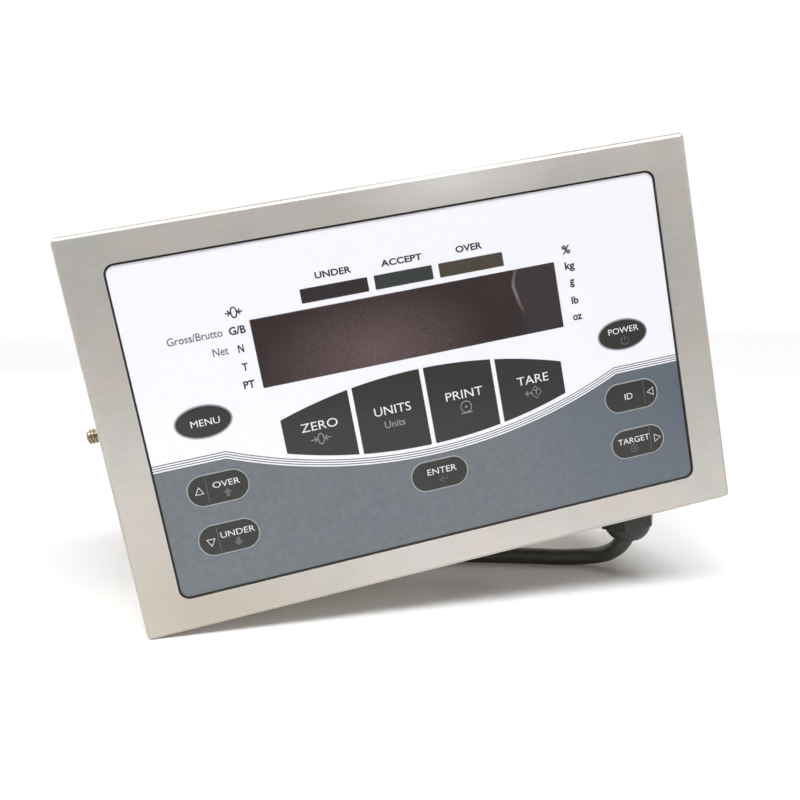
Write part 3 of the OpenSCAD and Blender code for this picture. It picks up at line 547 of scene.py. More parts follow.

# %% [markdown]
# The housing is one bent and welded sheet. Its copy gets a ground edge round the panel opening,
# which catches a thin bright line in the light, and its top and bottom walls take the second steel
# recipe, so that the grain runs the right way on each wall. The new faces of the ground edge are
# known by their tilt and by their place just behind the face. So are those of the bends round the
# face, which take a darker copy of the steel as painted shade; the bottom bend keeps the face steel.

# %% Housing and rear cover
FLAT_HALF = Vector((117, 71))
BEND_REACH = 1.8
FACE_TILT = -0.97
WALL_TILT = -0.05
DECK_TILT = 0.8
UNDER_TILT = -0.5


def steel_piece(node, width):
    bm = merged_copy(node)
    break_edges(bm, width)
    bm.normal_update()
    for face in bm.faces:
        face.material_index = 1 if abs(face.normal.z) > DECK_TILT else 0
        middle = face.calc_center_median()
        inside_bends = abs(middle.x) < FLAT_HALF.x and abs(middle.z) < FLAT_HALF.y
        if inside_bends and middle.y < width and face.normal.y > FACE_TILT:
            face.material_index = 2
        # The bends round the face, all but the bottom one, take the darker steel: painted shade.
        bent = FACE_TILT < face.normal.y < WALL_TILT and face.normal.z > UNDER_TILT
        if bent and not inside_bends and middle.y < BEND_REACH:
            face.material_index = 3
    bmesh.ops.transform(bm, matrix=LEAN, verts=bm.verts)
    finishes = [steel_face, steel_deck, steel_edge, steel_bend_shade]
    piece = link_piece(node + "_piece", bm, finishes, "case", (node,))
    smooth(piece)
    print(piece.name, len(piece.data.polygons), "faces")


steel_piece("front_housing", 0.5)
steel_piece("rear_cover", 0.3)

# %% [markdown]
# The overlay is a polyester film printed from behind: white above, blue grey below, with three thin
# dark lines where the fields meet. The boundary is level near the sides and dips in one wide arc
# under the keys. That is a distance formula, so it can be painted with a few sums on the place
# instead of a picture: the distance below the level line and below the arc, whichever is less. The
# blue is painted darker towards the right end: painted shade.

# %% Printed overlay
LEVEL_Z = -11.0
ARC_LOW_Z = -26.84
ARC_HALF = 77.6
ARC_DIP = LEVEL_Z - ARC_LOW_Z
ARC_R = (ARC_HALF ** 2 + ARC_DIP ** 2) / (2 * ARC_DIP)
LINE_PITCH = 0.9
LINE_SHARE = 0.42
LINE_COUNT = 3
SHADED_BLUE_AT = (115, -30)
SHADED_BLUE_HALF = (85, 70)


def printed_overlay():
    finish = Finish("printed_overlay").put(Coat_Weight=0.2, Coat_Roughness=0.06)
    place = finish.place()
    axes = finish.node("ShaderNodeSeparateXYZ")
    finish.tree.links.new(place, axes.inputs[0])
    x = axes.outputs["X"]
    z = axes.outputs["Z"]
    rise = finish.maths("SUBTRACT", z, ARC_LOW_Z + ARC_R)
    reach = finish.maths("ADD", finish.maths("MULTIPLY", x, x), finish.maths("MULTIPLY", rise, rise))
    below_arc = finish.maths("SUBTRACT", finish.maths("SQRT", reach), ARC_R)
    below_level = finish.maths("SUBTRACT", LEVEL_Z, z)
    below = finish.maths("MINIMUM", below_arc, below_level)
    step = finish.maths("FRACT", finish.maths("DIVIDE", below, LINE_PITCH))
    line = finish.maths("LESS_THAN", step, LINE_SHARE)
    lined = finish.maths("MULTIPLY", line, finish.maths("GREATER_THAN", below, 0.0))
    field = finish.maths("GREATER_THAN", below, LINE_COUNT * LINE_PITCH)
    mottle = finish.noise(place, (0.5, 0.5, 0.5), detail=4)
    speckle = finish.noise(place, (4, 4, 4), detail=2)
    white = finish.mixed(finish.between(mottle, 0, 1), screen(243, 242, 247), screen(245, 244, 249))
    lines = finish.mixed(lined, white, screen(96, 92, 96))
    blue = finish.mixed(finish.between(mottle, 0, 1), screen(101, 107, 112), screen(109, 115, 120))
    # Painted shade: the blue darkens towards the right end.
    blue_shade = finish.patch(place, SHADED_BLUE_AT, SHADED_BLUE_HALF, 1)
    shaded_blue = finish.mixed(blue_shade, blue, screen(86, 95, 108))
    finish.feed(finish.mixed(field, lines, shaded_blue), "Base Color")
    finish.feed(finish.between(speckle, 0.14, 0.22), "Roughness")
    wave = finish.noise(place, (0.05, 0.05, 0.05), detail=1)
    finish.bumped(finish.maths("ADD", wave, finish.maths("MULTIPLY", speckle, 0.01)), 0.5, 0.35)
    return finish.material


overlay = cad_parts["graphic_overlay"]
overlay.data.materials.clear()
overlay.data.materials.append(printed_overlay())
print("arc radius", round(ARC_R, 1), "mm")

# %% [markdown]
# The keys are printed in charcoal on the same film. Each is a copy of its solid, drawn out a little
# so that only a hairline parts it from the film round it, with a soft front edge. On the ovals and
# pills the front face is inset once, and the ring that this leaves is the pale outline. Each key
# rides on its own body, because it is pressed by itself.

# %% Keys
key_ink = grained("key_ink", screen(43, 42, 40), screen(48, 46, 43), (0.11, 0.16), 40, 0.08)
key_outline = grained("key_outline", screen(146, 149, 148), screen(162, 165, 163), (0.3, 0.4), 6, 0.01)
KEY_GROW = 0.11
KEY_EDGE = 0.05
FRONT_TILT = -0.9
OUTLINE_W = 0.46
KEYS = ["zero", "units", "print", "tare", "menu", "power", "over", "under", "enter", "id", "target"]
FAN_KEYS = KEYS[:4]


def front_of(bm):
    bm.normal_update()
    return max((f for f in bm.faces if f.normal.y < FRONT_TILT), key=lambda f: f.calc_area())


def key_piece(key):
    node = key + "_key"
    bm = merged_copy(node)
    low, high = corners(bm)
    size = high - low
    grow = (1 + 2 * KEY_GROW / size.x, 1, 1 + 2 * KEY_GROW / size.z)
    about = Matrix.Translation(-(low + high) / 2)
    bmesh.ops.scale(bm, vec=grow, space=about, verts=bm.verts)
    rim = list(front_of(bm).edges)
    bmesh.ops.bevel(
        bm, geom=rim, offset=KEY_EDGE, offset_type="OFFSET", segments=2, profile=0.5,
        affect="EDGES", material=-1,
    )
    if key not in FAN_KEYS:
        ring = bmesh.ops.inset_region(bm, faces=[front_of(bm)], thickness=OUTLINE_W)["faces"]
        for face in bm.faces:
            face.material_index = 1 if face in ring or face.normal.y > FRONT_TILT else 0
    bmesh.ops.transform(bm, matrix=LEAN, verts=bm.verts)
    piece = link_piece(node + "_cap", bm, [key_ink, key_outline], node, (node,))
    return smooth(piece)


for key in KEYS:
    key_piece(key)
print("keys", len(KEYS))

# %% [markdown]
# Captions and signs are ink, so they are as thin as a film. Blender's own typeface is plain and
# neutral. Each word becomes a flat mesh, is stretched to the width and height that it has on the
# panel and is laid on its key or on the overlay. Only words for functions and units are set.

# %% Helpers for printed words
INK_T = 0.03
OVERLAY_Y = 0.9
KEY_Y = 0.8


def ink(name, colour):
    darker = tuple(0.86 * c for c in colour[:3]) + (1,)
    return grained(name, darker, colour, (0.35, 0.5), 5, 0.005)


white_ink = ink("white_ink", screen(236, 236, 234))
grey_ink = ink("grey_ink", screen(150, 150, 146))
black_ink = ink("black_ink", screen(44, 32, 38))
pale_ink = ink("pale_ink", screen(92, 94, 98))
dim_ink = ink("dim_ink", screen(98, 103, 99))


def flat_mesh(curve):
    """A text or curve as a bmesh that lies in its own plane."""
    holder = bpy.data.objects.new("holder", curve)
    bpy.context.scene.collection.objects.link(holder)
    graph = bpy.context.evaluated_depsgraph_get()
    mesh = bpy.data.meshes.new_from_object(holder.evaluated_get(graph))
    bm = bmesh.new()
    bm.from_mesh(mesh)
    bpy.data.objects.remove(holder)
    bpy.data.meshes.remove(mesh)
    bpy.data.curves.remove(curve)
    return bm


def stand_up(bm, middle, width, height, front):
    """Fits a drawing to a width and height on the face, its front just proud of the print below."""
    low, high = corners(bm)
    size = high - low
    bmesh.ops.translate(bm, vec=-(low + high) / 2, verts=bm.verts)
    fit = (width / size.x, height / size.y, 2 * INK_T / size.z)
    bmesh.ops.scale(bm, vec=fit, verts=bm.verts)
    upright = Matrix.Rotation(math.radians(90), 3, "X")
    bmesh.ops.rotate(bm, matrix=upright, verts=bm.verts)
    bmesh.ops.translate(bm, vec=(middle[0], front, middle[1]), verts=bm.verts)
    bmesh.ops.transform(bm, matrix=LEAN, verts=bm.verts)


def print_on(body, name, bm, middle, width, height, material):
    """Lays a drawing on the overlay, which stays with the case, or on a key."""
    front, slot = (OVERLAY_Y, "overlay_film") if body == "case" else (KEY_Y, "key_film")
    stand_up(bm, middle, width, height, front)
    return link_piece(name, bm, [material], body)


def words(name, text, middle, width, height, material, body="case", bold=0.0):
    curve = bpy.data.curves.new(name, "FONT")
    curve.body = text
    curve.extrude = 0.05
    curve.offset = bold
    curve.resolution_u = 4
    return print_on(body, name, flat_mesh(curve), middle, width, height, material)


print("inks", white_ink.name, grey_ink.name, black_ink.name, pale_ink.name, dim_ink.name)

# %% Words on the keys
key_words = [
    ("zero", "ZERO", (-42.1, -8.8), 14.0, 3.3), ("units", "UNITS", (-13.6, -8.7), 14.3, 3.4),
    ("print", "PRINT", (15.1, -8.7), 14.9, 3.3), ("tare", "TARE", (43.4, -8.7), 13.0, 3.3),
    ("menu", "MENU", (-82.7, 1.1), 10.6, 2.5), ("power", "POWER", (83.9, 3.1), 12.9, 2.4),
    ("over", "OVER", (-80.1, -22.6), 10.0, 2.3), ("under", "UNDER", (-79.9, -41.8), 12.8, 2.3),
    ("enter", "ENTER", (1.1, -36.2), 11.7, 2.4), ("id", "ID", (82.1, -23.8), 3.4, 2.5),
    ("target", "TARGET", (81.7, -41.9), 13.7, 2.4),
]
for key, text, middle, width, height in key_words:
    words(key + "_caption", text, middle, width, height, white_ink, key + "_key")
words("units_note", "Units", (-13.6, -14.2), 8.0, 2.7, grey_ink, "units_key", bold=0.006)
print("captions", len(key_words) + 1)

# %% Words on the overlay
panel_words = [
    ("under_legend", "UNDER", (-26.0, 46.0), 13.7, 2.5),
    ("accept_legend", "ACCEPT", (0.2, 45.9), 15.9, 2.5),
    ("over_legend", "OVER", (26.7, 46.0), 10.5, 2.6), ("gross_legend", "G/B", (-64.4, 31.8), 6.1, 3.0),
    ("net_legend", "N", (-64.5, 25.0), 2.1, 3.0), ("tare_legend", "T", (-64.4, 18.1), 2.1, 2.9),
    ("preset_legend", "PT", (-64.3, 11.5), 4.1, 2.9), ("percent_legend", "%", (65.1, 38.4), 3.4, 3.4),
    ("kilo_legend", "kg", (65.6, 31.7), 4.0, 3.9), ("gram_legend", "g", (65.6, 25.1), 1.9, 3.2),
    ("pound_legend", "lb", (65.7, 18.5), 2.9, 2.9), ("ounce_legend", "oz", (65.7, 11.7), 3.8, 2.2),
]
for name, text, middle, width, height in panel_words:
    words(name, text, middle, width, height, black_ink, bold=0.03)
words("gross_word", "Gross/Brutto", (-79.8, 32.0), 19.9, 2.9, pale_ink, bold=0.01)
words("net_word", "Net", (-71.9, 25.3), 5.6, 2.9, pale_ink, bold=0.01)
print("legends", len(panel_words) + 2)

# %% [markdown]
# The signs beside the captions are drawn with a pen of one width: arrows, rings and triangles that
# every scale of this kind carries. Each is a set of strokes on one curve with a round bevel. Turned
# into a mesh, it is pressed as flat as the words.

# %% Helpers for signs
def ring_points(x, z, rx, rz, start=0, sweep=360, steps=24):
    turns = [math.radians(start + sweep * i / steps) for i in range(steps + 1)]
    return [(x + rx * math.cos(a), z + rz * math.sin(a)) for a in turns]


def sign(name, strokes, pen, material, body="case"):
    curve = bpy.data.curves.new(name, "CURVE")
    curve.dimensions = "3D"
    curve.bevel_depth = pen / 2
    curve.bevel_resolution = 1
    curve.use_fill_caps = True
    for points in strokes:
        stroke = curve.splines.new("POLY")
        closed = points[0] == points[-1]
        kept = points[:-1] if closed else points
        stroke.points.add(len(kept) - 1)
        stroke.use_cyclic_u = closed
        for knot, (x, z) in zip(stroke.points, kept):
            knot.co = (x, z, 0, 1)
    bm = flat_mesh(curve)
    low, high = corners(bm)
    size = high - low
    return print_on(body, name, bm, (low + high) / 2, size.x, size.y, material)


def centre_of_zero(x, z, half, tall):
    """The sign for the centre of zero: a nought between two arrows."""
    nought = ring_points(x, z, tall * 0.28, tall * 0.5)
    strokes = [nought]
    for side in (-1, 1):
        tip = x + side * tall * 0.36
        tail = x + side * half
        barb = tip + side * tall * 0.24
        strokes += [[(tail, z), (tip, z)], [(barb, z + tall * 0.26), (tip, z), (barb, z - tall * 0.26)]]
    return strokes


def triangle(x, z, size, turn):
    turns = [math.radians(turn + 120 * i) for i in range(3)]
    points = [(x + size * math.cos(a), z + size * math.sin(a)) for a in turns]
    return [points + points[:1]]


ARROW = [(0, 1.7), (-1.75, 0), (-0.62, 0), (-0.62, -1.5), (0.62, -1.5), (0.62, 0), (1.75, 0)]
ARROW_W = 3.5
ARROW_H = 3.2
ARROW_MIDDLE = 0.1


def filled_arrow(name, x, z, way, body):
    """A small solid arrow that points up or down."""
    bm = bmesh.new()
    face = bm.faces.new([bm.verts.new((x + dx, z + way * dz, 0)) for dx, dz in ARROW])
    raised = bmesh.ops.extrude_face_region(bm, geom=[face])
    bmesh.ops.translate(bm, vec=(0, 0, INK_T), verts=new_verts(raised))
    bmesh.ops.recalc_face_normals(bm, faces=bm.faces)
    return print_on(body, name, bm, (x, z + ARROW_MIDDLE * way), ARROW_W, ARROW_H, dim_ink)


print("sign helpers ready")

# %% Signs on the keys and the overlay
sign("zero_sign", centre_of_zero(-42.4, -14.0, 3.8, 4.0), 0.42, grey_ink, "zero_key")
sign("zero_legend", centre_of_zero(-64.35, 38.35, 3.15, 3.8), 0.55, black_ink)
roll = ring_points(15.05, -13.8, 2.15, 2.15)
roll_eye = ring_points(15.05, -13.8, 0.35, 0.35, steps=8)
sign("print_sign", [roll, roll_eye, [(12.6, -16.2), (17.35, -16.2)]], 0.36, grey_ink, "print_key")
diamond = [(41.6, -14.0), (43.9, -11.6), (46.2, -14.0), (43.9, -16.45), (41.6, -14.0)]
tare_arrow = [[(39.6, -14.0), (42.6, -14.0)], [(40.6, -13.1), (39.6, -14.0), (40.6, -14.95)]]
tare_mark = [[(43.2, -13.2), (44.8, -13.2)], [(44.0, -13.2), (44.0, -15.0)]]
sign("tare_sign", [diamond] + tare_arrow + tare_mark, 0.34, grey_ink, "tare_key")
power_ring = ring_points(83.9, -1.15, 1.6, 1.6, start=125, sweep=290)
sign("power_sign", [power_ring, [(83.9, -1.1), (83.9, 0.7)]], 0.32, dim_ink, "power_key")
return_arrow = [[(2.9, -38.7), (2.9, -39.9), (0.0, -39.9)], [(1.3, -38.7), (-0.5, -39.9), (1.3, -41.1)]]
sign("enter_sign", return_arrow, 0.3, dim_ink, "enter_key")
aim_ring = ring_points(81.5, -45.4, 1.5, 1.5)
aim_cross = [[(80.6, -45.4), (82.4, -45.4)], [(81.5, -44.55), (81.5, -46.25)]]
sign("target_sign", [aim_ring] + aim_cross, 0.32, dim_ink, "target_key")
side_signs = [
    ("over", -90.3, -24.0, 90, -87.4), ("under", -90.1, -43.4, -90, -87.3),
    ("id", 92.0, -23.8, 180, 88.9), ("target", 91.55, -43.1, 0, 88.85),
]
UPPER_ROW_Z = -23.9
LOWER_ROW_Z = -43.1
DIVIDER_HALF = 4.9
TRIANGLE_R = 1.75
for key, x, z, turn, divider_x in side_signs:
    row_z = UPPER_ROW_Z if key in ("over", "id") else LOWER_ROW_Z
    divider = [(divider_x, row_z - DIVIDER_HALF), (divider_x, row_z + DIVIDER_HALF)]
    sign(key + "_triangle", triangle(x, z, TRIANGLE_R, turn), 0.5, white_ink, key + "_key")
    sign(key + "_divider", [divider], 0.26, dim_ink, key + "_key")
for key, z, way in (("over", -26.3, 1), ("under", -45.4, -1)):
    filled_arrow(key + "_sign", -80.25, z, way, key + "_key")
print("signs drawn")

# %% [markdown]
# The display window and the three status bars are tinted plastic set flush in the panel. They look
# nearly black until a lamp lights behind them, with a trace of the digits showing through. So each
# is a dark glossy finish that lets a little of what lies behind it pass. The big one has a lighter,
# grainy, reddish haze over its middle, and towards its right end a painted reflection: a pale wavy
# line, past which the window is painted greyer.

# %% Tinted windows
HAZE_AT = (-16, 14)
HAZE_HALF = (46, 24)
# Where the painted reflection line lies, its half size and how far it wanders.
REFLECTION_LINE_AT = (43, 27)
REFLECTION_LINE_HALF = (9, 11)
REFLECTION_LINE_WANDER = 9
SHOW_THROUGH = 0.1


def tinted(name, dark, light):
    finish = Finish(name).put(Alpha=1 - SHOW_THROUGH)
    place = finish.place()
    cloud = finish.noise(place, (0.06, 0.06, 0.09), detail=2)
    specks = finish.noise(place, (2.2, 2.2, 2.2), detail=4, rough=0.7)
    blend = finish.maths("MULTIPLY", finish.between(cloud, 0.2, 1), finish.between(specks, 0.3, 1))
    colour = finish.mixed(blend, dark, light)
    finish.feed(finish.between(specks, 0.12, 0.2), "Roughness")
    finish.bumped(finish.noise(place, (0.08, 0.08, 0.08), detail=1), 0.3, 0.3)
    finish.feed(colour, "Base Color")
    return finish, place, colour


def haze_and_painted_reflection(finish, place, colour):
    """Adds the haze and the painted reflection: a wavy line and a greyer end."""
    axes = finish.node("ShaderNodeSeparateXYZ")
    finish.tree.links.new(place, axes.inputs[0])
    grain = finish.noise(place, (1.3, 1.3, 1.3), detail=4, rough=0.75)
    wander = finish.noise(place, (0.02, 0.02, 0.09), detail=1)
    shift = finish.maths("MULTIPLY", finish.maths("SUBTRACT", wander, 0.5), REFLECTION_LINE_WANDER)
    past = finish.maths("SUBTRACT", finish.maths("ADD", axes.outputs["X"], shift), REFLECTION_LINE_AT[0])
    middle_patch = finish.patch(place, HAZE_AT, HAZE_HALF, 0.9)
    haze = finish.maths("MULTIPLY", middle_patch, finish.between(grain, 0.45, 1, 0.35, 0.6))
    # Painted reflection: a pale wavy line, and past it the window painted greyer.
    edge = finish.between(finish.maths("ABSOLUTE", past), 0.7, 0, 0.2, 0.9)
    line = finish.maths("MULTIPLY", edge, finish.patch(place, REFLECTION_LINE_AT, REFLECTION_LINE_HALF))
    hazed = finish.mixed(haze, colour, screen(106, 87, 87))
    past_reflection_line = finish.mixed(finish.between(past, 0, 0.8, 0, 1.5), hazed, screen(56, 48, 51))
    finish.feed(finish.mixed(line, past_reflection_line, screen(150, 134, 130)), "Base Color")


FILTER_EDGE = 0.12
windows = [
    ("display_filter", "red_filter", (46, 32, 32), (51, 36, 36)),
    ("under_filter", "amber_filter", (44, 33, 34), (50, 38, 38)),
    ("accept_filter", "green_filter", (48, 53, 50), (56, 61, 57)),
    ("over_filter", "olive_filter", (70, 63, 50), (78, 71, 56)),
]
for node, slot, dark, light in windows:
    finish, place, colour = tinted("tint_" + node, screen(*dark), screen(*light))
    if node == "display_filter":
        haze_and_painted_reflection(finish, place, colour)
    deburred(node, FILTER_EDGE, finish.material)
print("windows", len(windows))

# %% [markdown]
# Behind the big window stand six numeral blocks. Their seven bars are separate pale lenses, so each
# is a small six-sided bar: a six-point ring stretched to a bar with pointed ends and raised a
# little. A loop places the seven bars of each numeral.

# %% Bars of the numerals
DIGIT_COUNT = 6
DIGIT_PITCH = 15.3
DIGIT_Z = 21.8
DIGIT_FRONT = 4.9
BAR_L = 7.6
BAR_W = 1.5
BAR_GAP = 0.3
BAR_T = 0.2
BAR_REACH = BAR_L / 2 + BAR_GAP
segment_lens = grained("segment_lens", screen(170, 150, 148), screen(196, 176, 172), (0.3, 0.45), 3)


def numeral_bar(bm, x, z, upright):
    made = bmesh.ops.create_circle(bm, cap_ends=True, radius=1, segments=6)["verts"]
    bmesh.ops.scale(bm, vec=(BAR_L / 2, BAR_W / math.sqrt(3), 1), verts=made)
    if upright:
        bmesh.ops.rotate(bm, matrix=Matrix.Rotation(math.radians(90), 3, "Z"), verts=made)
    bmesh.ops.rotate(bm, matrix=Matrix.Rotation(math.radians(90), 3, "X"), verts=made)
    bmesh.ops.translate(bm, vec=(x, DIGIT_FRONT, z), verts=made)


bars = bmesh.new()
for i in range(DIGIT_COUNT):
    x = (i - (DIGIT_COUNT - 1) / 2) * DIGIT_PITCH
    for z in (-2, 0, 2):
        numeral_bar(bars, x, DIGIT_Z + z * BAR_REACH, False)
    for side in (-1, 1):
        for z in (-1, 1):
            numeral_bar(bars, x + side * BAR_REACH, DIGIT_Z + z * BAR_REACH, True)
raised = bmesh.ops.extrude_face_region(bars, geom=bars.faces[:])
bmesh.ops.translate(bars, vec=(0, -BAR_T, 0), verts=new_verts(raised))
bmesh.ops.recalc_face_normals(bars, faces=bars.faces)
bmesh.ops.transform(bars, matrix=LEAN, verts=bars.verts)
link_piece("numeral_bars", bars, [segment_lens], "case")
print("numeral bars", DIGIT_COUNT * 7)

# %% [markdown]
# The two side studs are quarter inch screws. A thread is a helix: the outline of one ridge is spun
# round the axis while it moves along by one pitch a turn, and each turn joins the next where their
# ends meet. The overlong coil is cut at the wall and at the tip, its tip is coned and the ends are
# closed. The stud on the other side is the same screw turned round, so that its thread keeps its
# hand.

# %% Threaded studs
STUD_Y = 39
STUD_R = 3.175
STUD_ROOT_R = 2.45
STUD_PITCH = 1.27
STUD_WALL = 120.5
STUD_TIP = 132
STUD_CONE = 0.8
STUD_STEPS = 40
STUD_NECK_R = STUD_R + 0.25
STUD_NECK_L = 1.5
STUD_HEAD_R = 6
STUD_HEAD_L = 2
WELD_GAP = 0.002
ON_PLANE = 0.001
RIDGE = [
    (0, STUD_ROOT_R), (0.1, STUD_ROOT_R), (0.55, STUD_R), (0.72, STUD_R), (1.17, STUD_ROOT_R),
    (STUD_PITCH, STUD_ROOT_R),
]
stud_metal = grained(
    "plated_stud", screen(150, 140, 116), screen(188, 178, 154), (0.24, 0.36), 1.6, 0.01, Metallic=1.0,
)


def trim(bm, x, keep_below):
    geom = bm.verts[:] + bm.edges[:] + bm.faces[:]
    bmesh.ops.bisect_plane(
        bm, geom=geom, plane_co=(x, 0, 0), plane_no=(1, 0, 0),
        clear_outer=keep_below, clear_inner=not keep_below,
    )
    rim = [e for e in bm.edges if e.is_boundary and all(abs(v.co.x - x) < ON_PLANE for v in e.verts)]
    bmesh.ops.contextual_create(bm, geom=rim)


def disc(bm, radius, start, end):
    made = bmesh.ops.create_cone(
        bm, cap_ends=True, segments=48, radius1=radius, radius2=radius, depth=end - start,
    )["verts"]
    bmesh.ops.rotate(bm, matrix=Matrix.Rotation(math.radians(90), 3, "Y"), verts=made)
    bmesh.ops.translate(bm, vec=((start + end) / 2, STUD_Y, 0), verts=made)


def stud_pair():
    bm = bmesh.new()
    first = STUD_WALL - 1.5 * STUD_PITCH
    chain = [bm.verts.new((first + along, STUD_Y, radius)) for along, radius in RIDGE]
    edges = [bm.edges.new(pair) for pair in zip(chain, chain[1:])]
    turns = math.ceil((STUD_TIP - first) / STUD_PITCH) + 1
    bmesh.ops.spin(
        bm, geom=chain + edges, cent=(0, STUD_Y, 0), axis=(1, 0, 0),
        dvec=(STUD_PITCH / STUD_STEPS, 0, 0), angle=2 * math.pi * turns, steps=turns * STUD_STEPS,
    )
    bmesh.ops.remove_doubles(bm, verts=bm.verts, dist=WELD_GAP)
    trim(bm, STUD_WALL, False)
    trim(bm, STUD_TIP, True)
    for vert in bm.verts:
        arm = Vector((0, vert.co.y - STUD_Y, vert.co.z))
        limit = STUD_R - STUD_CONE + STUD_TIP - vert.co.x
        if arm.length > limit:
            vert.co -= arm.normalized() * (arm.length - limit)
    bmesh.ops.recalc_face_normals(bm, faces=bm.faces)
    neck = STUD_WALL - STUD_NECK_L
    disc(bm, STUD_NECK_R, neck, STUD_WALL)
    disc(bm, STUD_HEAD_R, neck - STUD_HEAD_L, neck)
    other = bmesh.ops.duplicate(bm, geom=bm.verts[:] + bm.edges[:] + bm.faces[:])
    half_turn = Matrix.Rotation(math.pi, 3, "Z")
    bmesh.ops.rotate(bm, cent=(0, STUD_Y, 0), matrix=half_turn, verts=new_verts(other))
    bmesh.ops.transform(bm, matrix=LEAN, verts=bm.verts)
    piece = link_piece("side_stud_screws", bm, [stud_metal], "case", ("side_studs",))
    return smooth(piece, 30)


print("stud faces", len(stud_pair().data.polygons))

# %% [markdown]
# The gland, its nut and the blind plugs beside it are moulded in black nylon: satin, with rounded
# edges and a fine grain from the mould. The rubber pieces are more matt, and a little lighter where
# they are dusty.

# %% Gland, plugs and rubber
nylon = grained("black_nylon", screen(40, 40, 36), screen(52, 51, 46), (0.38, 0.55), 2.5, 0.015)
rubber = grained("black_rubber", screen(28, 27, 25), screen(44, 42, 39), (0.6, 0.8), 1.8, 0.02)
zinc = grained(
    "bright_plating", screen(190, 190, 184), screen(216, 216, 210), (0.22, 0.36), 2, 0.01, Metallic=1.0,
)
nylon_edges = {"gland_body": 0.5, "gland_nut": 0.6, "port_plugs": 0.7, "port_locknuts": 0.4}
rubber_edges = {"panel_seal": 0.12, "rear_gasket": 0.3, "port_washers": 0.2, "cover_washers": 0.25}
for node, width in nylon_edges.items():
    deburred(node, width, nylon, segments=3)
for node, width in rubber_edges.items():
    deburred(node, width, rubber)
deburred("cover_screws", 0.3, zinc, segments=3)
print("moulded and rubber pieces made")

# %% [markdown]
# The plug is one moulding on the cord's far end. Its tapered sleeve has grooves so that it bends
# with the cord: a stepped outline spun once round the axis. The body is a block with generous
# round edges and a recess in each side for the fingers, made by insetting the side faces and
# pushing them in.

# %% Plug
SLEEVE_START = 54
SLEEVE_END = 74
PLUG_END = 104
PLUG_Y = 114
PLUG_Z = 11
PLUG_SIZE = (PLUG_END - SLEEVE_END, 26, 22)
PLUG_ROUND = 3.6
GROOVES = 5
GROOVE_FIRST = 2
GROOVE_PITCH = 3.2
GROOVE = [(0, 0), (0.3, -0.9), (1.2, -0.7), (1.5, 0.4)]
SLEEVE_R = 4.8
SLEEVE_END_R = 10
SLEEVE_SUNK = 2
GRIP_RIM = 1.2
GRIP_SLOPE = 0.8
GRIP_DEPTH = 1.0
GRIP_LEAST_AREA = 100
vinyl = grained(
    "black_vinyl", screen(36, 36, 34), screen(48, 47, 44), (0.42, 0.6), 2.2, 0.015, upright=False,
)


def sleeve(bm):
    outline = [(SLEEVE_START, CORD_R + 0.05), (SLEEVE_START, SLEEVE_R)]
    for i in range(GROOVES):
        along = GROOVE_FIRST + i * GROOVE_PITCH
        radius = SLEEVE_R * (1 + along / (SLEEVE_END - SLEEVE_START))
        outline += [(SLEEVE_START + along + step, radius + rise) for step, rise in GROOVE]
    outline += [(SLEEVE_END, SLEEVE_END_R), (SLEEVE_END + SLEEVE_SUNK, SLEEVE_END_R)]
    chain = [bm.verts.new((x, PLUG_Y, PLUG_Z + r)) for x, r in outline]
    edges = [bm.edges.new(pair) for pair in zip(chain, chain[1:])]
    bmesh.ops.spin(
        bm, geom=chain + edges, cent=(0, PLUG_Y, PLUG_Z), axis=(1, 0, 0),
        angle=2 * math.pi, steps=48, use_merge=True,
    )


def plug_block(bm):
    made = bmesh.ops.create_cube(bm, size=1)["verts"]
    bmesh.ops.scale(bm, vec=PLUG_SIZE, verts=made)
    bmesh.ops.translate(bm, vec=((SLEEVE_END + PLUG_END) / 2, PLUG_Y, PLUG_Z), verts=made)
    edges = list({e for v in made for e in v.link_edges})
    block = bmesh.ops.bevel(
        bm, geom=edges, offset=PLUG_ROUND, offset_type="OFFSET", segments=5, profile=0.5,
        affect="EDGES", material=-1,
    )["faces"]
    bm.normal_update()
    flat = [f for f in bm.faces if abs(f.normal.y) > 0.99 and f not in block]
    for side in [f for f in flat if f.calc_area() > GRIP_LEAST_AREA]:
        bmesh.ops.inset_region(bm, faces=[side], thickness=GRIP_RIM)
        bmesh.ops.inset_region(bm, faces=[side], thickness=GRIP_SLOPE, depth=-GRIP_DEPTH)


plug_mesh = bmesh.new()
plug_block(plug_mesh)
sleeve(plug_mesh)
bmesh.ops.recalc_face_normals(plug_mesh, faces=plug_mesh.faces)
bmesh.ops.scale(plug_mesh, vec=(MM, MM, MM), verts=plug_mesh.verts)
plug = smooth(link_piece("plug_moulding", plug_mesh, [vinyl], "case", ("plug_body",)))
print("plug faces", len(plug.data.polygons))

# %% [markdown]
# The blades are stamped brass with rounded ends, so a copy with broken edges is enough. The tie is
# a woven strap that closes on itself round one side of the coil, so its finish has the small ribs
# of a tape across its length.

# %% Blades and tie
brass = grained(
    "blade_brass", screen(196, 172, 112), screen(214, 192, 134), (0.22, 0.36), 3, 0.01,
    upright=False, Metallic=1.0,
)
blades = deburred("plug_blades", 0.45, brass, segments=3)


def woven_strap():
    finish = Finish("woven_strap")
    place = finish.place(False)
    ribs = finish.noise(place, (3.2, 3.2, 3.2), detail=2)
    weave = finish.node("ShaderNodeTexWave", bands_direction="Y")
    weave.inputs["Scale"].default_value = 0.9
    weave.inputs["Distortion"].default_value = 0.6
    finish.tree.links.new(place, weave.inputs["Vector"])
    finish.feed(finish.mixed(ribs, screen(26, 26, 27), screen(52, 52, 53)), "Base Color")
    finish.feed(finish.between(ribs, 0.7, 0.9), "Roughness")
    finish.bumped(finish.maths("ADD", weave.outputs["Fac"], ribs), 0.6, 0.12)
    return finish.material


tie = deburred("cord_tie", 0.28, woven_strap(), segments=3)
print("blades and tie", blades.name, tie.name)

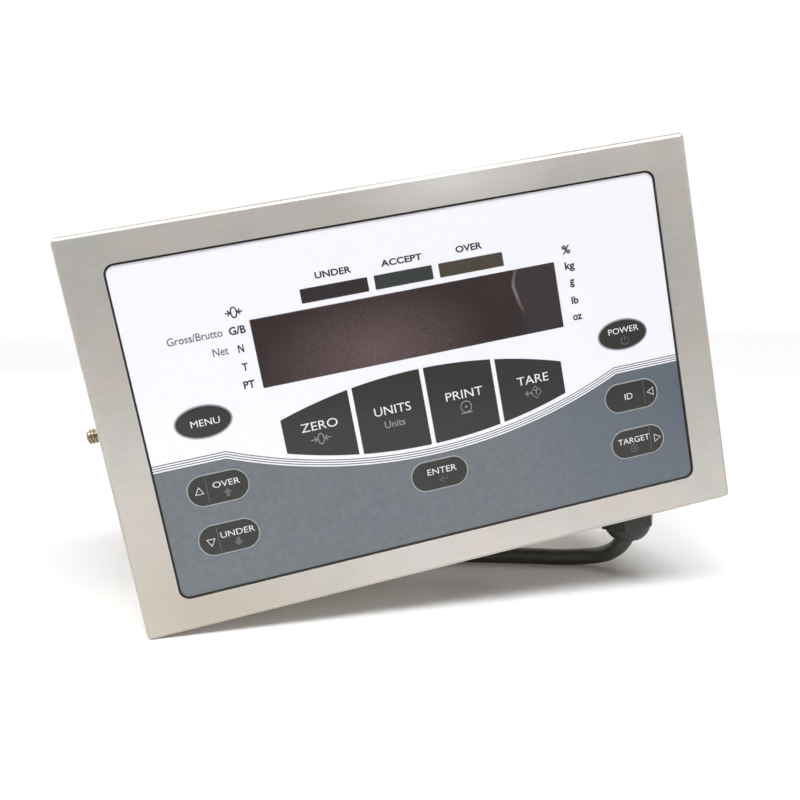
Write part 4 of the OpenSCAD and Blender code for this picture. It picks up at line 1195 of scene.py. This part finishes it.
# %% [markdown]
# The cord's own sheath is extruded vinyl with a faint sheen and a little dust. The curve made at
# the start now gets that finish and rides with the case, and the model's cord pieces are hidden.

# %% Cord's finish
sheath = grained(
    "cord_sheath", screen(64, 62, 58), screen(76, 74, 69), (0.4, 0.55), 3, 0.012, upright=False,
)
cord_curve.materials.append(sheath)
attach(cord, "case")
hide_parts("cord_run", "cord_coil", "cord_lead")

# %% [markdown]
# The rest of the object lies inside the case: panel layers, boards and their parts. They keep the
# shapes of the construction model. Each still gets the finish of its real material, so that the
# part is complete when it is opened: films, laminate, mouldings, brass, varnished iron.

# %% Finishes of the inner pieces
def plastic(name, dark, light, rough=(0.4, 0.6), size=3):
    return grained(name, screen(*dark), screen(*light), rough, size)


def metal(name, dark, light, rough=(0.25, 0.4), size=2):
    return grained(name, screen(*dark), screen(*light), rough, size, 0.01, Metallic=1.0)


inner_finishes = [
    (zinc, ("panel_studs", "panel_nuts", "board_screws", "cover_nuts")),
    (metal("mill_aluminium", (186, 187, 189), (208, 209, 211), size=6), ("panel_plate",)),
    (metal("spring_steel", (176, 176, 174), (200, 200, 198)), ("switch_domes",)),
    (metal("turned_brass", (190, 164, 98), (212, 186, 120)), ("board_standoffs",)),
    (metal("varnished_iron", (96, 84, 66), (130, 112, 84), (0.45, 0.65)), ("transformer",)),
    (plastic("polyester_layers", (186, 178, 150), (204, 196, 168)),
     ("keypad_spacer", "keypad_circuit", "keypad_tail")),
    (plastic("green_laminate", (18, 92, 52), (30, 116, 66), (0.3, 0.45), 2),
     ("display_board", "main_board")),
    (plastic("grey_moulding", (112, 110, 110), (128, 126, 126)), ("led_digits", "status_bars")),
    (plastic("red_lamp", (168, 26, 20), (196, 40, 32), (0.15, 0.25)), ("annunciator_leds",)),
    (plastic("chip_moulding", (34, 34, 36), (48, 48, 50)), ("processor_chips",)),
    (plastic("relay_moulding", (30, 80, 160), (44, 98, 180)), ("setpoint_relays",)),
    (plastic("sleeved_can", (22, 30, 74), (34, 44, 96), (0.2, 0.35)), ("capacitors",)),
    (plastic("green_terminal", (44, 120, 76), (58, 140, 92)), ("terminal_blocks",)),
    (plastic("ivory_moulding", (212, 206, 186), (228, 222, 204)), ("board_connectors", "fuse_holder")),
    (plastic("flat_cable_vinyl", (140, 146, 154), (160, 166, 174)), ("ribbon_cable",)),
    (plastic("lead_vinyl", (110, 70, 40), (130, 86, 52)), ("power_leads",)),
    (rubber, ("gland_insert",)),
]
for material, names in inner_finishes:
    for name in names:
        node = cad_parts[name]
        node.data.materials.clear()
        node.data.materials.append(material)
print("inner pieces", sum(len(names) for _, names in inner_finishes))
